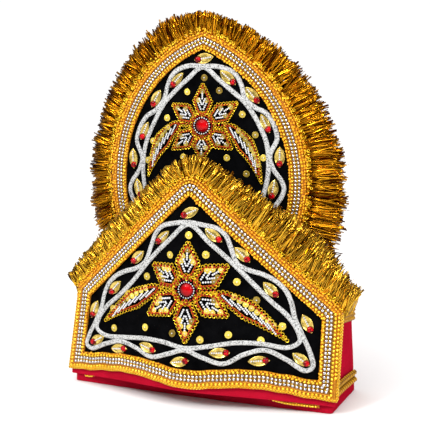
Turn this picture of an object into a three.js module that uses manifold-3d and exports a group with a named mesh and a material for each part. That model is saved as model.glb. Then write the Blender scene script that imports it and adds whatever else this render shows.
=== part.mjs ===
// Costume crown: two bowed, velvet faced panels on a flattened ring of red cloth over card.
// Millimetres, +Z up, the decorated front looks towards -Y.
import * as THREE from 'three';
import { mergeVertices } from 'three/addons/utils/BufferGeometryUtils.js';
import Module from 'manifold-3d';

const wasm = await Module();
wasm.setup();

// Driving dimensions: clearances and layers, measured outwards from the velvet's face
const SEAT = 0.3;
const TRIM_SEAT = 0.45;
const VELVET_THICK = 0.8;
const BOARD_THICK = 2.4;
const BOARD_SEAT = 0.6;
const BOARD_FACE = -VELVET_THICK - BOARD_SEAT;
const BOARD_BACK = BOARD_FACE - BOARD_THICK;
const TRIM_TOP = 2.3;
const VINE_TOP = 1.9;
const CHAIN_TOP = 1.7;

// Panel surfaces: y at the floor, backward lean, depth of the forward bow at half width, rounding of its ridge
const GABLE = { foot: -37.3, lean: 0.101, bow: 32, half: 120, round: 25.5 };
const TALL = { foot: -2.9, lean: 0.047, bow: 12.5, half: 85, round: 34 };

// Gable outline; towards its shoulders the cloth is drawn in on the left and out on the right
const GABLE_HALF_LOW = 121.5;
const GABLE_HALF_SHOULDER = 118;
const GABLE_SHOULDER_Z = 80.2;
const GABLE_APEX_Z = 191.7;
const GABLE_DRAW_FROM_Z = 12;
const GABLE_DRAW = { left: 0.958, right: 1.04 };
const GABLE_SIDE_BAND = 15.5;
const GABLE_LOW_BAND = 14.8;
const GABLE_SLOPE_BAND = 11;
const HEADER_WIDE = 7.5;
const GABLE_COLUMNS = 20;

// Lower edge of the gable's lace band: a bracket that dips in the middle and at the corners
const LACE_EDGE = [
  { x: 0, z: 19.4 },
  { x: 10, z: 19.5 },
  { x: 24, z: 21.2 },
  { x: 43, z: 22.4 },
  { x: 61, z: 21.8 },
  { x: 79, z: 19.2 },
  { x: 100, z: 15.2 },
  { x: 121, z: 12.3 },
];
// Lower edge of the red board below the lace
const BOARD_EDGE_CORNER = 6.8;
const BOARD_EDGE_RISE = 8.4;

// Tall panel: an ogive of two arcs through the crystal rows, on a straight foot
const OGIVE_RADIUS = 124.3;
const OGIVE_CENTRE_X = 46;
const OGIVE_CENTRE_Z = 183;
const TALL_VELVET_INSET = -6;
const TALL_LACE_OUTSET = 4;
const TALL_BOARD_OUTSET = 9.5;
const TALL_FOOT_Z = 4;
const TALL_WAIST_Z = 118;
const TALL_LACE_LOW_Z = 112;

// Head ring
const RING_HALF = 117;
const RING_WALL = 2.2;
const RING_TOP = 76;
const RING_FRONT_TOP = 68;
const RING_FRONT = -5.5;
const RING_FRONT_LEAN = 0.047;
const RING_CORNER_SETBACK = 3.25;
const RING_CORNER_LEAN = 0.054;
const RING_REAR = 65;
const RING_REAR_LEAN = -0.2;
const RING_REAR_BULGE = 3;
const RING_DENT = 1.6;

// Braid, chain and stones
const VINE_WIDE = 3.3;
const CROSS_LIFT = 0.25;
const CHAIN_WIDE = 2.2;
const LEAF_LONG = 17.5;
const LEAF_WIDE = 8.7;
const LEAF_WIDE_TIGHT = 6.9;
const LEAF_HIGH = 1.5;
const LEAF_STONE_AT = 5.2;
const LEAF_STONE_RADIUS = 2.4;
const CENTRE_STONE_RADIUS = 5.8;

// The braid was stitched by eye: its right half sits higher than its left by up to twice the skew
const STITCH_SKEW = 4;
const STITCH_SKEW_REACH = 45;
const STITCH_SKEW_LOW_Z = 25;
const STITCH_SKEW_HIGH_Z = 55;

// Half of each stitched braid, from the middle of the panel outwards; the other half mirrors it before the skew
const GABLE_INNER_BRAID = [
  { x: 0, z: 153.3 }, { x: 17.4, z: 139.3 }, { x: 35.5, z: 122.5 }, { x: 52, z: 104.5 }, { x: 67, z: 89.5 },
  { x: 81, z: 77 }, { x: 89, z: 65 }, { x: 90.5, z: 57 }, { x: 82, z: 52.3 }, { x: 60, z: 54.7 },
  { x: 40, z: 56.2 }, { x: 20, z: 54.6 }, { x: 0, z: 52 },
];
const GABLE_OUTER_BRAID = [
  { x: 0, z: 155 }, { x: 13, z: 153.3 }, { x: 24, z: 150.4 }, { x: 30.5, z: 144.2 }, { x: 34.5, z: 134.5 },
  { x: 40.5, z: 120.3 }, { x: 50, z: 114.5 }, { x: 60, z: 111.2 }, { x: 70, z: 106 }, { x: 78, z: 98.5 },
  { x: 83, z: 88 }, { x: 86, z: 76 }, { x: 93.2, z: 60.5 }, { x: 99.2, z: 48 }, { x: 101.4, z: 38.7 },
  { x: 96, z: 35.7 }, { x: 80, z: 44 }, { x: 64, z: 50 }, { x: 48, z: 47 }, { x: 32, z: 40.5 },
  { x: 14, z: 45.7 }, { x: 0, z: 50.3 },
];
const TALL_INNER_BRAID = [
  { x: 0, z: 277.5 }, { x: 14, z: 267.3 }, { x: 25.5, z: 257.5 }, { x: 35, z: 248.5 }, { x: 44.5, z: 234 },
  { x: 53, z: 215.3 }, { x: 55.2, z: 201 }, { x: 55, z: 186.5 }, { x: 52, z: 172 }, { x: 45, z: 150 }, { x: 40, z: 137 },
];
const TALL_OUTER_BRAID = [
  { x: 0, z: 278.4 }, { x: 13, z: 278.2 }, { x: 23.3, z: 274.8 }, { x: 28.7, z: 269.8 }, { x: 32.3, z: 262 },
  { x: 35.5, z: 251.5 }, { x: 44, z: 243 }, { x: 51.5, z: 239 }, { x: 56.6, z: 233 }, { x: 60.3, z: 225.3 },
  { x: 61.8, z: 217 }, { x: 56.5, z: 204 }, { x: 59, z: 193.5 }, { x: 66.5, z: 182.5 }, { x: 68.3, z: 175.5 },
  { x: 62.5, z: 163.6 }, { x: 51, z: 152 }, { x: 43, z: 140 },
];

// Stamped leaves: centre on the panel and the way that the stone end points, in degrees from +X;
// a leaf pressed between two strands of braid is narrower
const GABLE_LEAVES = [
  { x: 0, z: 162.8, turn: -154 },
  { x: -24, z: 140.3, turn: -136, tight: true },
  { x: -48.7, z: 120.5, turn: -137 },
  { x: -72, z: 91, turn: -132 },
  { x: -93.8, z: 68.6, turn: -112 },
  { x: -90.1, z: 42.75, turn: -150 },
  { x: -65.7, z: 40, turn: 11 },
  { x: -35.6, z: 46.8, turn: -12 },
  { x: -4.4, z: 40.1, turn: 13 },
  { x: 28.5, z: 50, turn: 3 },
  { x: 59.7, z: 44.4, turn: 4 },
  { x: 92.2, z: 46.3, turn: -37 },
  { x: 20.5, z: 145.5, turn: -36 },
  { x: 43.7, z: 130.5, turn: -44 },
  { x: 66.7, z: 102.7, turn: -44 },
  { x: 95.7, z: 75.5, turn: -62 },
];
const TALL_LEAVES = [
  { x: 0.5, z: 284.6, turn: -169 },
  { x: -23.5, z: 266.2, turn: -134, tight: true },
  { x: -43.3, z: 249.9, turn: -120 },
  { x: -54.35, z: 222.3, turn: -115, tight: true },
  { x: -65.3, z: 198.2, turn: -86 },
  { x: -59.7, z: 173, turn: -76 },
  { x: -60, z: 148, turn: -64 },
  { x: 21.1, z: 269.6, turn: -40 },
  { x: 41.2, z: 256, turn: -49 },
  { x: 52.1, z: 233.5, turn: -63, tight: true },
  { x: 64.2, z: 206.4, turn: -90 },
  { x: 59.5, z: 179.7, turn: -100 },
  { x: 60, z: 152, turn: -116 },
];

// Flowers: six pointed petals round the stone and two long leaves that hang outwards
const GABLE_FLOWER = { x: 0, z: 100, petalFrom: 9, petalWide: 20, collar: 9.5 };
const TALL_FLOWER = { x: 0, z: 230, petalFrom: 8, petalWide: 16, collar: 8.8 };
const GABLE_PETALS = [
  { turn: 90, reach: 39.5 }, { turn: 151, reach: 36.7 }, { turn: 215, reach: 44 },
  { turn: 270, reach: 44 }, { turn: -30, reach: 40 }, { turn: 33, reach: 40 },
];
const TALL_PETALS = [
  { turn: 90, reach: 34.5 }, { turn: 149, reach: 32 }, { turn: 218, reach: 34 },
  { turn: 270, reach: 28.5 }, { turn: -35, reach: 31.5 }, { turn: 34, reach: 35.8 },
];
const GABLE_HANGING_LEAF = { fromX: 23, fromZ: 99.5, bendX: 55, bendZ: 86, toX: 81, toZ: 61.5, wide: 15 };
const TALL_HANGING_LEAF = { fromX: 19, fromZ: 232, bendX: 42, bendZ: 217, toX: 50, toZ: 185, wide: 14 };
// Outline of a petal or long leaf: its share of the full width at shares of its length
const PETAL_BASE = { along: 0, wide: 0 };
const PETAL_SIDE = [{ along: 0.1, wide: 0.52 }, { along: 0.44, wide: 1 }, { along: 0.75, wide: 0.47 }];
const PETAL_TIP = { along: 1, wide: 0 };

// Fringe: reach of the locks beyond the header at the panel's apex, a third of the way down and at the foot,
// and how far the locks are combed towards upright at the apex and at the foot
const GABLE_LOCKS = 15;
const TALL_LOCKS = 17;
const SIDE_LOCKS = 5;
const UPPER_SHARE = 0.35;
const GABLE_FRINGE = {
  left: { apex: 8.5, upper: 11, foot: 15, combApex: 0.05, combFoot: 0.1 },
  right: { apex: 9, upper: 18, foot: 28, combApex: 0.25, combFoot: 0.8 },
};
const TALL_FRINGE = {
  left: { apex: 9, upper: 16, foot: 18, combApex: 0, combFoot: 0.05 },
  right: { apex: 9, upper: 16, foot: 28, combApex: 0, combFoot: 0.3 },
};
const SIDE_REACH = 23;

// Colours
const RED_CLOTH = { color: 0xa8142c, roughness: 0.85, metalness: 0 };
const VELVET = { color: 0x08080a, roughness: 1, metalness: 0 };
const GOLD_LACE = { color: 0xd9a019, roughness: 0.45, metalness: 0.6 };
const GOLD_TINSEL = { color: 0xb98212, roughness: 0.35, metalness: 0.8 };
const SILVER_BRAID = { color: 0xd8dadb, roughness: 0.4, metalness: 0.5 };
const GOLD_LEAF = { color: 0xd6b53c, roughness: 0.3, metalness: 0.9 };
const RED_STONE = { color: 0xc00818, roughness: 0.1, metalness: 0 };

const crown = new THREE.Group();

// Small helpers
function mix(a, b, t) {
  return a + (b - a) * t;
}

function clamp01(t) {
  return Math.min(1, Math.max(0, t));
}

// Repeatable uneven value from -1 to 1, for handmade lengths
function uneven(seed) {
  const wave = Math.sin(seed * 12.9898 + 4.1414) * 43758.5453;
  return 2 * (wave - Math.floor(wave)) - 1;
}

function lookUp(table, x) {
  const at = Math.abs(x);
  for (let i = 1; i < table.length; i += 1) {
    const low = table[i - 1];
    const high = table[i];
    if (at <= high.x) {
      const t = clamp01((at - low.x) / (high.x - low.x));
      return mix(low.z, high.z, t * t * (3 - 2 * t));
    }
  }
  return table[table.length - 1].z;
}

// Geometry helpers
function signedVolume(geometry) {
  const position = geometry.getAttribute('position');
  const index = geometry.getIndex();
  const a = new THREE.Vector3();
  const b = new THREE.Vector3();
  const c = new THREE.Vector3();
  let volume = 0;
  for (let i = 0; i < index.count; i += 3) {
    a.fromBufferAttribute(position, index.getX(i));
    b.fromBufferAttribute(position, index.getX(i + 1));
    c.fromBufferAttribute(position, index.getX(i + 2));
    volume += a.dot(b.cross(c)) / 6;
  }
  return volume;
}

// Leaves out collapsed triangles and turns an inside-out body the right way
function tidied(geometry) {
  const index = geometry.getIndex();
  const kept = [];
  for (let i = 0; i < index.count; i += 3) {
    const corners = [index.getX(i), index.getX(i + 1), index.getX(i + 2)];
    if (new Set(corners).size === 3) kept.push(...corners);
  }
  geometry.setIndex(kept);
  if (signedVolume(geometry) < 0) {
    for (let i = 0; i < kept.length; i += 3) {
      [kept[i + 1], kept[i + 2]] = [kept[i + 2], kept[i + 1]];
    }
    geometry.setIndex(kept);
  }
  return geometry;
}

function welded(geometry) {
  geometry.deleteAttribute('normal');
  geometry.deleteAttribute('uv');
  return mergeVertices(geometry, 1e-4);
}

// Welds a stock geometry and carries every vertex to its place on the crown
function shaped(geometry, place) {
  const body = welded(geometry);
  const position = body.getAttribute('position');
  const from = new THREE.Vector3();
  for (let i = 0; i < position.count; i += 1) {
    from.fromBufferAttribute(position, i);
    const to = place(from);
    position.setXYZ(i, to.x, to.y, to.z);
  }
  return tidied(body);
}

function toSolid(geometry) {
  const vertProperties = new Float32Array(geometry.getAttribute('position').array);
  const triVerts = new Uint32Array(geometry.getIndex().array);
  return new wasm.Manifold(new wasm.Mesh({ numProp: 3, vertProperties, triVerts }));
}

function fused(geometries) {
  const joined = geometries.map(toSolid).reduce((all, next) => all.add(next));
  const mesh = joined.getMesh();
  const geometry = new THREE.BufferGeometry();
  geometry.setAttribute('position', new THREE.BufferAttribute(new Float32Array(mesh.vertProperties), 3));
  geometry.setIndex(Array.from(mesh.triVerts));
  return geometry;
}

function addPiece(name, geometry, finish) {
  geometry.computeVertexNormals();
  const mesh = new THREE.Mesh(geometry, new THREE.MeshStandardMaterial(finish));
  mesh.name = name;
  crown.add(mesh);
}

// Point on a bowed panel at (x, z), lifted off its face by out
function panelPoint(panel, x, z, out) {
  const reach = Math.hypot(x, panel.round);
  const span = Math.hypot(panel.half, panel.round) - panel.round;
  const y = panel.foot + panel.lean * z + panel.bow * (reach - panel.round) / span;
  const normal = new THREE.Vector3(panel.bow * x / (reach * span), -1, panel.lean).normalize();
  return new THREE.Vector3(x, y, z).addScaledVector(normal, out);
}

// Slab between two outs whose (x, z) is given by plan(u, v), u and v from 0 to 1
function slabOnPanel(panel, columns, rows, plan, outLow, outHigh) {
  return shaped(new THREE.BoxGeometry(1, 1, 1, columns, rows, 1), (from) => {
    const at = plan(from.x + 0.5, from.y + 0.5);
    return panelPoint(panel, at.x, at.z, from.z > 0 ? outHigh : outLow);
  });
}

// Band between two edges with the same number of stations
function bandOnPanel(panel, edgeA, edgeB, outLow, outHigh) {
  const last = edgeA.length - 1;
  const plan = (u, v) => (v > 0.5 ? edgeB : edgeA)[Math.round(u * last)];
  return slabOnPanel(panel, last, 1, plan, outLow, outHigh);
}

// Closed frame between two rings of stations
function frameOnPanel(panel, outer, inner, outLow, outHigh) {
  const count = outer.length;
  return shaped(new THREE.TorusGeometry(2, 1, 4, count), (from) => {
    const turn = Math.atan2(from.y, from.x) / (2 * Math.PI);
    const station = (Math.round(turn * count) + count) % count;
    const across = Math.hypot(from.x, from.y) - 2;
    const edge = across - from.z > 0 ? outer : inner;
    const lifted = across + from.z > 0 ? outHigh : outLow;
    return panelPoint(panel, edge[station].x, edge[station].z, lifted);
  });
}

// Two edges, half a width to either side of a route
function edgesOf(route, wide, closed) {
  const count = route.length;
  const left = [];
  const right = [];
  route.forEach((point, i) => {
    const before = route[closed ? (i + count - 1) % count : Math.max(0, i - 1)];
    const after = route[closed ? (i + 1) % count : Math.min(count - 1, i + 1)];
    const along = new THREE.Vector2(after.x - before.x, after.z - before.z).normalize();
    left.push({ x: point.x - along.y * wide / 2, z: point.z + along.x * wide / 2 });
    right.push({ x: point.x + along.y * wide / 2, z: point.z - along.x * wide / 2 });
  });
  return { left, right };
}

function smoothRoute(table, steps, closed) {
  const points = table.map((row) => new THREE.Vector3(row.x, 0, row.z));
  const curve = new THREE.CatmullRomCurve3(points, closed, 'centripetal');
  return curve.getSpacedPoints(steps).slice(0, closed ? steps : steps + 1);
}

function stitched(row) {
  const rise = clamp01((row.z - STITCH_SKEW_LOW_Z) / (STITCH_SKEW_HIGH_Z - STITCH_SKEW_LOW_Z));
  return { x: row.x, z: row.z + STITCH_SKEW * rise * Math.tanh((row.x / STITCH_SKEW_REACH) ** 3) };
}

function braidRing(panel, half, steps, lift) {
  const mirrored = half.slice(1, -1).reverse().map((row) => ({ x: -row.x, z: row.z }));
  const route = smoothRoute([...half, ...mirrored].map(stitched), steps, true);
  const { left, right } = edgesOf(route, VINE_WIDE, true);
  return frameOnPanel(panel, left, right, TRIM_SEAT + lift, VINE_TOP + lift);
}

function braidArch(panel, half, steps, lift) {
  const mirrored = half.slice(1).reverse().map((row) => ({ x: -row.x, z: row.z }));
  const route = smoothRoute([...mirrored, ...half].map(stitched), steps, false);
  const { left, right } = edgesOf(route, VINE_WIDE, false);
  return bandOnPanel(panel, right, left, TRIM_SEAT + lift, VINE_TOP + lift);
}

// Gable outline functions
function drawn(at) {
  const share = clamp01((at.z - GABLE_DRAW_FROM_Z) / (GABLE_SHOULDER_Z - GABLE_DRAW_FROM_Z));
  const draw = at.x < 0 ? GABLE_DRAW.left : GABLE_DRAW.right;
  return { x: at.x * mix(1, draw, share), z: at.z };
}

function gableSlopeZ(x, drop) {
  const fall = (GABLE_APEX_Z - GABLE_SHOULDER_Z) / GABLE_HALF_SHOULDER;
  return GABLE_APEX_Z - fall * Math.abs(x) - drop * Math.hypot(1, fall);
}

function boardEdgeZ(x) {
  const t = clamp01(Math.abs(x) / GABLE_HALF_LOW);
  return BOARD_EDGE_CORNER + BOARD_EDGE_RISE * (1 - t ** 1.6);
}

function gableColumn(u) {
  const side = 2 * u - 1;
  return Math.sign(side) * Math.abs(side) ** 1.15;
}

function gablePlan(lowZ, halfLow, halfTop, drop) {
  return (u, v) => {
    const side = gableColumn(u);
    const lowX = side * halfLow;
    const topX = side * halfTop;
    return drawn({ x: mix(lowX, topX, v), z: mix(lowZ(lowX), gableSlopeZ(topX, drop), v) });
  };
}

function gableTrimRings() {
  const outer = [];
  const inner = [];
  const innerLow = GABLE_HALF_LOW - GABLE_SIDE_BAND;
  const innerShoulder = GABLE_HALF_SHOULDER - GABLE_SIDE_BAND;
  for (let i = 0; i <= GABLE_COLUMNS; i += 1) {
    const side = gableColumn(i / GABLE_COLUMNS);
    const x = side * GABLE_HALF_LOW;
    outer.push({ x, z: lookUp(LACE_EDGE, x) });
    inner.push({ x: side * innerLow, z: lookUp(LACE_EDGE, side * innerLow) + GABLE_LOW_BAND });
  }
  const slopeSteps = 9;
  for (let i = 0; i <= 2 * slopeSteps; i += 1) {
    const side = 1 - i / slopeSteps;
    outer.push({ x: side * GABLE_HALF_SHOULDER, z: gableSlopeZ(side * GABLE_HALF_SHOULDER, 0) });
    inner.push({ x: side * innerShoulder, z: gableSlopeZ(side * innerShoulder, GABLE_SLOPE_BAND) });
  }
  return { outer: outer.map(drawn), inner: inner.map(drawn) };
}

// Ogive outline functions: half width at a height, and a point along the arch from -1 (left foot) to 1 (right foot)
function ogiveHalf(z, outset) {
  const radius = OGIVE_RADIUS + outset;
  const rise = Math.max(z, TALL_WAIST_Z) - OGIVE_CENTRE_Z;
  return Math.sqrt(Math.max(0, radius * radius - rise * rise)) - OGIVE_CENTRE_X;
}

function ogiveApexZ(outset) {
  const radius = OGIVE_RADIUS + outset;
  return OGIVE_CENTRE_Z + Math.sqrt(radius * radius - OGIVE_CENTRE_X * OGIVE_CENTRE_X);
}

function ogivePoint(t, outset, lowZ) {
  const radius = OGIVE_RADIUS + outset;
  const lowAngle = Math.asin((lowZ - OGIVE_CENTRE_Z) / radius);
  const apexAngle = Math.acos(OGIVE_CENTRE_X / radius);
  const angle = mix(apexAngle, lowAngle, Math.abs(t));
  const x = radius * Math.cos(angle) - OGIVE_CENTRE_X;
  return { x: Math.sign(t) * x, z: OGIVE_CENTRE_Z + radius * Math.sin(angle) };
}

function tallPlan(outset, topGap) {
  return (u, v) => {
    const footShare = 0.25;
    let z = mix(TALL_FOOT_Z, TALL_WAIST_Z, v / footShare);
    if (v > footShare) {
      const rise = (v - footShare) / (1 - footShare);
      z = mix(TALL_WAIST_Z, ogiveApexZ(outset) - topGap, 1 - (1 - rise) ** 1.35);
    }
    return { x: (2 * u - 1) * ogiveHalf(z, outset), z };
  };
}

function reachAt(fringe, t) {
  if (t < UPPER_SHARE) return mix(fringe.apex, fringe.upper, t / UPPER_SHARE);
  return mix(fringe.upper, fringe.foot, (t - UPPER_SHARE) / (1 - UPPER_SHARE));
}

// Fringe in locks on its header: along(t) gives the header's inner edge and the way the locks point
function fringeOnPanel(panel, locks, along, reach, seed) {
  const columns = 2 * locks;
  return shaped(new THREE.BoxGeometry(1, 1, 1, columns, 2, 1), (from) => {
    const station = Math.round((from.x + 0.5) * columns);
    const row = Math.round((from.y + 0.5) * 2);
    const { x, z, outX, outZ, combX, combZ } = along(station / columns);
    const isTip = station % 2 === 1;
    const lengthen = isTip ? 1 + 0.16 * uneven(station + seed) : 0.52 + 0.1 * uneven(station + seed);
    const beyond = row === 2 ? reachAt(reach, station / columns) * lengthen : 0;
    const header = row === 0 ? 0 : HEADER_WIDE;
    const thick = [
      { low: BOARD_FACE + SEAT, high: 2.6 },
      { low: BOARD_FACE + SEAT, high: 3 },
      { low: 0.4, high: 2.2 },
    ][row];
    const out = from.z > 0 ? thick.high : thick.low;
    return panelPoint(panel, x + outX * header + combX * beyond, z + outZ * header + combZ * beyond, out);
  });
}

function combed(outX, outZ, share) {
  const way = new THREE.Vector2(outX * (1 - share), outZ * (1 - share) + share).normalize();
  return { outX, outZ, combX: way.x, combZ: way.y };
}

function gableFringe(side, fringe, seed) {
  const fall = (GABLE_APEX_Z - GABLE_SHOULDER_Z) / GABLE_HALF_SHOULDER;
  const slope = Math.hypot(1, fall);
  const fromX = 0.4;
  const toX = GABLE_HALF_SHOULDER - 1;
  const along = (t) => {
    const x = side * mix(fromX, toX, t);
    const upright = (1 - t) ** 6;
    const outX = side * fall / slope * (1 - upright);
    const outZ = 1 / slope;
    const length = Math.hypot(outX, outZ);
    const start = drawn({ x, z: gableSlopeZ(x, -SEAT) });
    const share = mix(fringe.combApex, fringe.combFoot, t * t);
    return { ...start, ...combed(outX / length, outZ / length, share) };
  };
  return fringeOnPanel(GABLE, GABLE_LOCKS, along, fringe, seed);
}

function tallFringe(side, fringe, seed) {
  const along = (t) => {
    const at = ogivePoint(side * mix(0.004, 1, t), TALL_LACE_OUTSET + SEAT, TALL_WAIST_Z);
    const way = new THREE.Vector2(Math.abs(at.x) + OGIVE_CENTRE_X, at.z - OGIVE_CENTRE_Z).normalize();
    const upright = (1 - t) ** 8;
    const outX = side * way.x * (1 - upright);
    const outZ = mix(way.y, 1, upright);
    const length = Math.hypot(outX, outZ);
    const share = mix(fringe.combApex, fringe.combFoot, t);
    return { x: at.x, z: at.z, ...combed(outX / length, outZ / length, share) };
  };
  return fringeOnPanel(TALL, TALL_LOCKS, along, fringe, seed);
}

// Head ring: stations run along the front, the right side, the rear and the left side
function ringStations() {
  const stations = [];
  const frontSteps = 12;
  for (let i = 0; i <= frontSteps; i += 1) {
    stations.push({ x: mix(-RING_HALF + 1.5, RING_HALF - 1.5, i / frontSteps), back: 0 });
  }
  const sideBacks = [0.03, 0.3, 0.65, 0.95];
  sideBacks.forEach((back) => stations.push({ x: RING_HALF + 2 * back, back }));
  const rearSteps = 14;
  for (let i = 0; i <= rearSteps; i += 1) {
    stations.push({ x: mix(RING_HALF - 3, -RING_HALF + 3, i / rearSteps), back: 1 });
  }
  [...sideBacks].reverse().forEach((back) => stations.push({ x: -RING_HALF - 2 * back, back }));
  return stations;
}

function ringTopZ(station) {
  return mix(RING_FRONT_TOP, RING_TOP, clamp01(station.back * 12));
}

function ringPoint(station, z) {
  const across = station.x / RING_HALF;
  const corner = RING_CORNER_SETBACK + RING_CORNER_LEAN * z;
  const front = RING_FRONT + RING_FRONT_LEAN * z + corner * across * across;
  const fold = RING_DENT * Math.sin(5 * across + 0.6) * (z / RING_TOP);
  const rear = RING_REAR + RING_REAR_LEAN * z + RING_REAR_BULGE * (1 - across * across) + fold;
  const onSide = station.back > 0 && station.back < 1;
  const dent = onSide ? RING_DENT * Math.sin(Math.PI * station.back) * Math.sin(Math.PI * z / RING_TOP) : 0;
  return new THREE.Vector3(station.x - Math.sign(station.x) * dent, mix(front, rear, station.back), z);
}

function ringInner(stations, i, z) {
  const count = stations.length;
  const before = ringPoint(stations[(i + count - 1) % count], z);
  const after = ringPoint(stations[(i + 1) % count], z);
  const inward = new THREE.Vector3(before.y - after.y, after.x - before.x, 0).normalize();
  return ringPoint(stations[i], z).addScaledVector(inward, RING_WALL);
}

function ringSolid() {
  const stations = ringStations();
  const count = stations.length;
  const profile = [
    new THREE.Vector2(2, 0), new THREE.Vector2(2, 0.5), new THREE.Vector2(2, 1),
    new THREE.Vector2(1, 1), new THREE.Vector2(1, 0.5), new THREE.Vector2(1, 0), new THREE.Vector2(2, 0),
  ];
  return shaped(new THREE.LatheGeometry(profile, count), (from) => {
    const turn = Math.atan2(from.x, from.z) / (2 * Math.PI);
    const station = (Math.round(turn * count) + count) % count;
    const z = from.y * ringTopZ(stations[station]);
    const isOuter = Math.hypot(from.x, from.z) > 1.5;
    return isOuter ? ringPoint(stations[station], z) : ringInner(stations, station, z);
  });
}

// Point outside a side wall, lifted off it by out
function sidePoint(side, back, z, out) {
  const at = ringPoint({ x: side * (RING_HALF + 2 * back), back }, z);
  return at.add(new THREE.Vector3(side * out, 0, 0));
}

// Double braid low on a side wall: two ridges that fall slightly towards the rear
function sideBraid(side) {
  const ridges = [{ up: 0, out: 1.4 }, { up: 0.25, out: 2 }, { up: 0.5, out: 1.1 }, { up: 0.75, out: 2 }, { up: 1, out: 1.4 }];
  const lowFront = 12;
  const lowRear = 7;
  const tall = 13;
  return shaped(new THREE.BoxGeometry(1, 1, 1, 4, 4, 1), (from) => {
    const back = mix(0.05, 0.93, from.x + 0.5);
    const ridge = ridges[Math.round((from.y + 0.5) * 4)];
    const z = mix(lowFront, lowRear, back) + tall * ridge.up;
    const dent = RING_DENT + 0.2;
    return sidePoint(side, back, z, from.z > 0 ? dent + ridge.out : dent - 1);
  });
}

function sideFringe(side, seed) {
  const columns = 2 * SIDE_LOCKS;
  return shaped(new THREE.BoxGeometry(1, 1, 1, columns, 2, 1), (from) => {
    const station = Math.round((from.x + 0.5) * columns);
    const row = Math.round((from.y + 0.5) * 2);
    const back = mix(0.1, 0.94, station / columns);
    const lengthen = station % 2 === 1 ? 1 + 0.15 * uneven(station + seed) : 0.55;
    const z = [RING_TOP - 10, RING_TOP + 0.5, RING_TOP + 0.5 + SIDE_REACH * lengthen][row];
    const spread = [0, 0.4, 10.5 * lengthen][row];
    const thick = [2.6, 2.8, 1.6][row];
    const wall = sidePoint(side, back, Math.min(z, RING_TOP), RING_DENT * 0.2 + SEAT + spread);
    wall.z = z;
    wall.x += from.z > 0 ? side * thick : 0;
    return wall;
  });
}

// Stamped leaf: a low pointed dish with a faceted stone near one end
function leafSolid(panel, row) {
  const turn = THREE.MathUtils.degToRad(row.turn);
  const place = (along, across, out) => {
    const x = row.x + along * Math.cos(turn) - across * Math.sin(turn);
    const z = row.z + along * Math.sin(turn) + across * Math.cos(turn);
    return panelPoint(panel, x, z, out);
  };
  const wide = row.tight ? LEAF_WIDE_TIGHT : LEAF_WIDE;
  const dish = shaped(new THREE.CylinderGeometry(0.62, 1, 1, 10, 1), (from) => {
    const radius = Math.hypot(from.x, from.z);
    const angle = Math.atan2(from.z, from.x);
    const taper = 1 - Math.abs(Math.cos(angle)) ** 2 * 0.25;
    const along = radius * Math.cos(angle) * LEAF_LONG / 2;
    const across = radius * Math.sin(angle) * taper * wide / 2;
    const crowned = radius < 0.01 && from.y > 0 ? 0.35 : 0;
    return place(along, across, SEAT + (from.y + 0.5) * LEAF_HIGH + crowned);
  });
  const stone = shaped(new THREE.CylinderGeometry(0.55, 1, 1, 8, 1), (from) => {
    const out = SEAT + 0.4 + (from.y + 0.5) * 2.4;
    return place(LEAF_STONE_AT + from.x * LEAF_STONE_RADIUS, from.z * LEAF_STONE_RADIUS, out);
  });
  return fused([dish, stone]);
}

// Centre stone: a faceted dome with a flat table, in a low collar
function centreStone(panel, x, z) {
  const radius = CENTRE_STONE_RADIUS;
  const profile = [
    new THREE.Vector2(0, 0), new THREE.Vector2(radius + 1, 0), new THREE.Vector2(radius + 1, 1),
    new THREE.Vector2(radius, 1.3), new THREE.Vector2(radius * 0.92, 2.4), new THREE.Vector2(radius * 0.7, 3.7),
    new THREE.Vector2(radius * 0.38, 4.5), new THREE.Vector2(0, 4.5),
  ];
  return shaped(new THREE.LatheGeometry(profile, 12), (from) => (
    panelPoint(panel, x + from.x, z + from.z, SEAT + from.y)
  ));
}

// Raised chain outline of one petal or leaf along an axis that may bend
function chainLoop(panel, axis, wide, lift) {
  const curve = new THREE.QuadraticBezierCurve(axis.from, axis.bend, axis.to);
  const beside = (row, side) => {
    const at = curve.getPoint(row.along);
    const along = curve.getTangent(row.along);
    const half = side * row.wide * wide / 2;
    return { x: at.x - along.y * half, z: at.y + along.x * half };
  };
  const route = [
    beside(PETAL_BASE, 1), ...PETAL_SIDE.map((row) => beside(row, 1)),
    beside(PETAL_TIP, 1), ...[...PETAL_SIDE].reverse().map((row) => beside(row, -1)),
  ];
  const { left, right } = edgesOf(route, CHAIN_WIDE, true);
  return frameOnPanel(panel, left, right, SEAT + lift, CHAIN_TOP + lift);
}

function flowerSolid(panel, flower, petals, hanging) {
  const loops = [];
  const collar = [];
  const collarSides = 10;
  for (let i = 0; i < collarSides; i += 1) {
    const turn = 2 * Math.PI * i / collarSides;
    collar.push({ x: flower.x + flower.collar * Math.cos(turn), z: flower.z + flower.collar * Math.sin(turn) });
  }
  const ring = edgesOf(collar, CHAIN_WIDE, true);
  loops.push(frameOnPanel(panel, ring.left, ring.right, SEAT + 2 * CROSS_LIFT, CHAIN_TOP + 2 * CROSS_LIFT));
  petals.forEach((petal, i) => {
    const turn = THREE.MathUtils.degToRad(petal.turn);
    const away = (reach) => new THREE.Vector2(flower.x + reach * Math.cos(turn), flower.z + reach * Math.sin(turn));
    const axis = { from: away(flower.petalFrom), bend: away((flower.petalFrom + petal.reach) / 2), to: away(petal.reach) };
    loops.push(chainLoop(panel, axis, flower.petalWide, (i % 2) * CROSS_LIFT));
  });
  [-1, 1].forEach((side) => {
    const axis = {
      from: new THREE.Vector2(side * hanging.fromX, hanging.fromZ),
      bend: new THREE.Vector2(side * hanging.bendX, hanging.bendZ),
      to: new THREE.Vector2(side * hanging.toX, hanging.toZ),
    };
    loops.push(chainLoop(panel, axis, hanging.wide, 3 * CROSS_LIFT));
  });
  return fused(loops);
}

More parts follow.
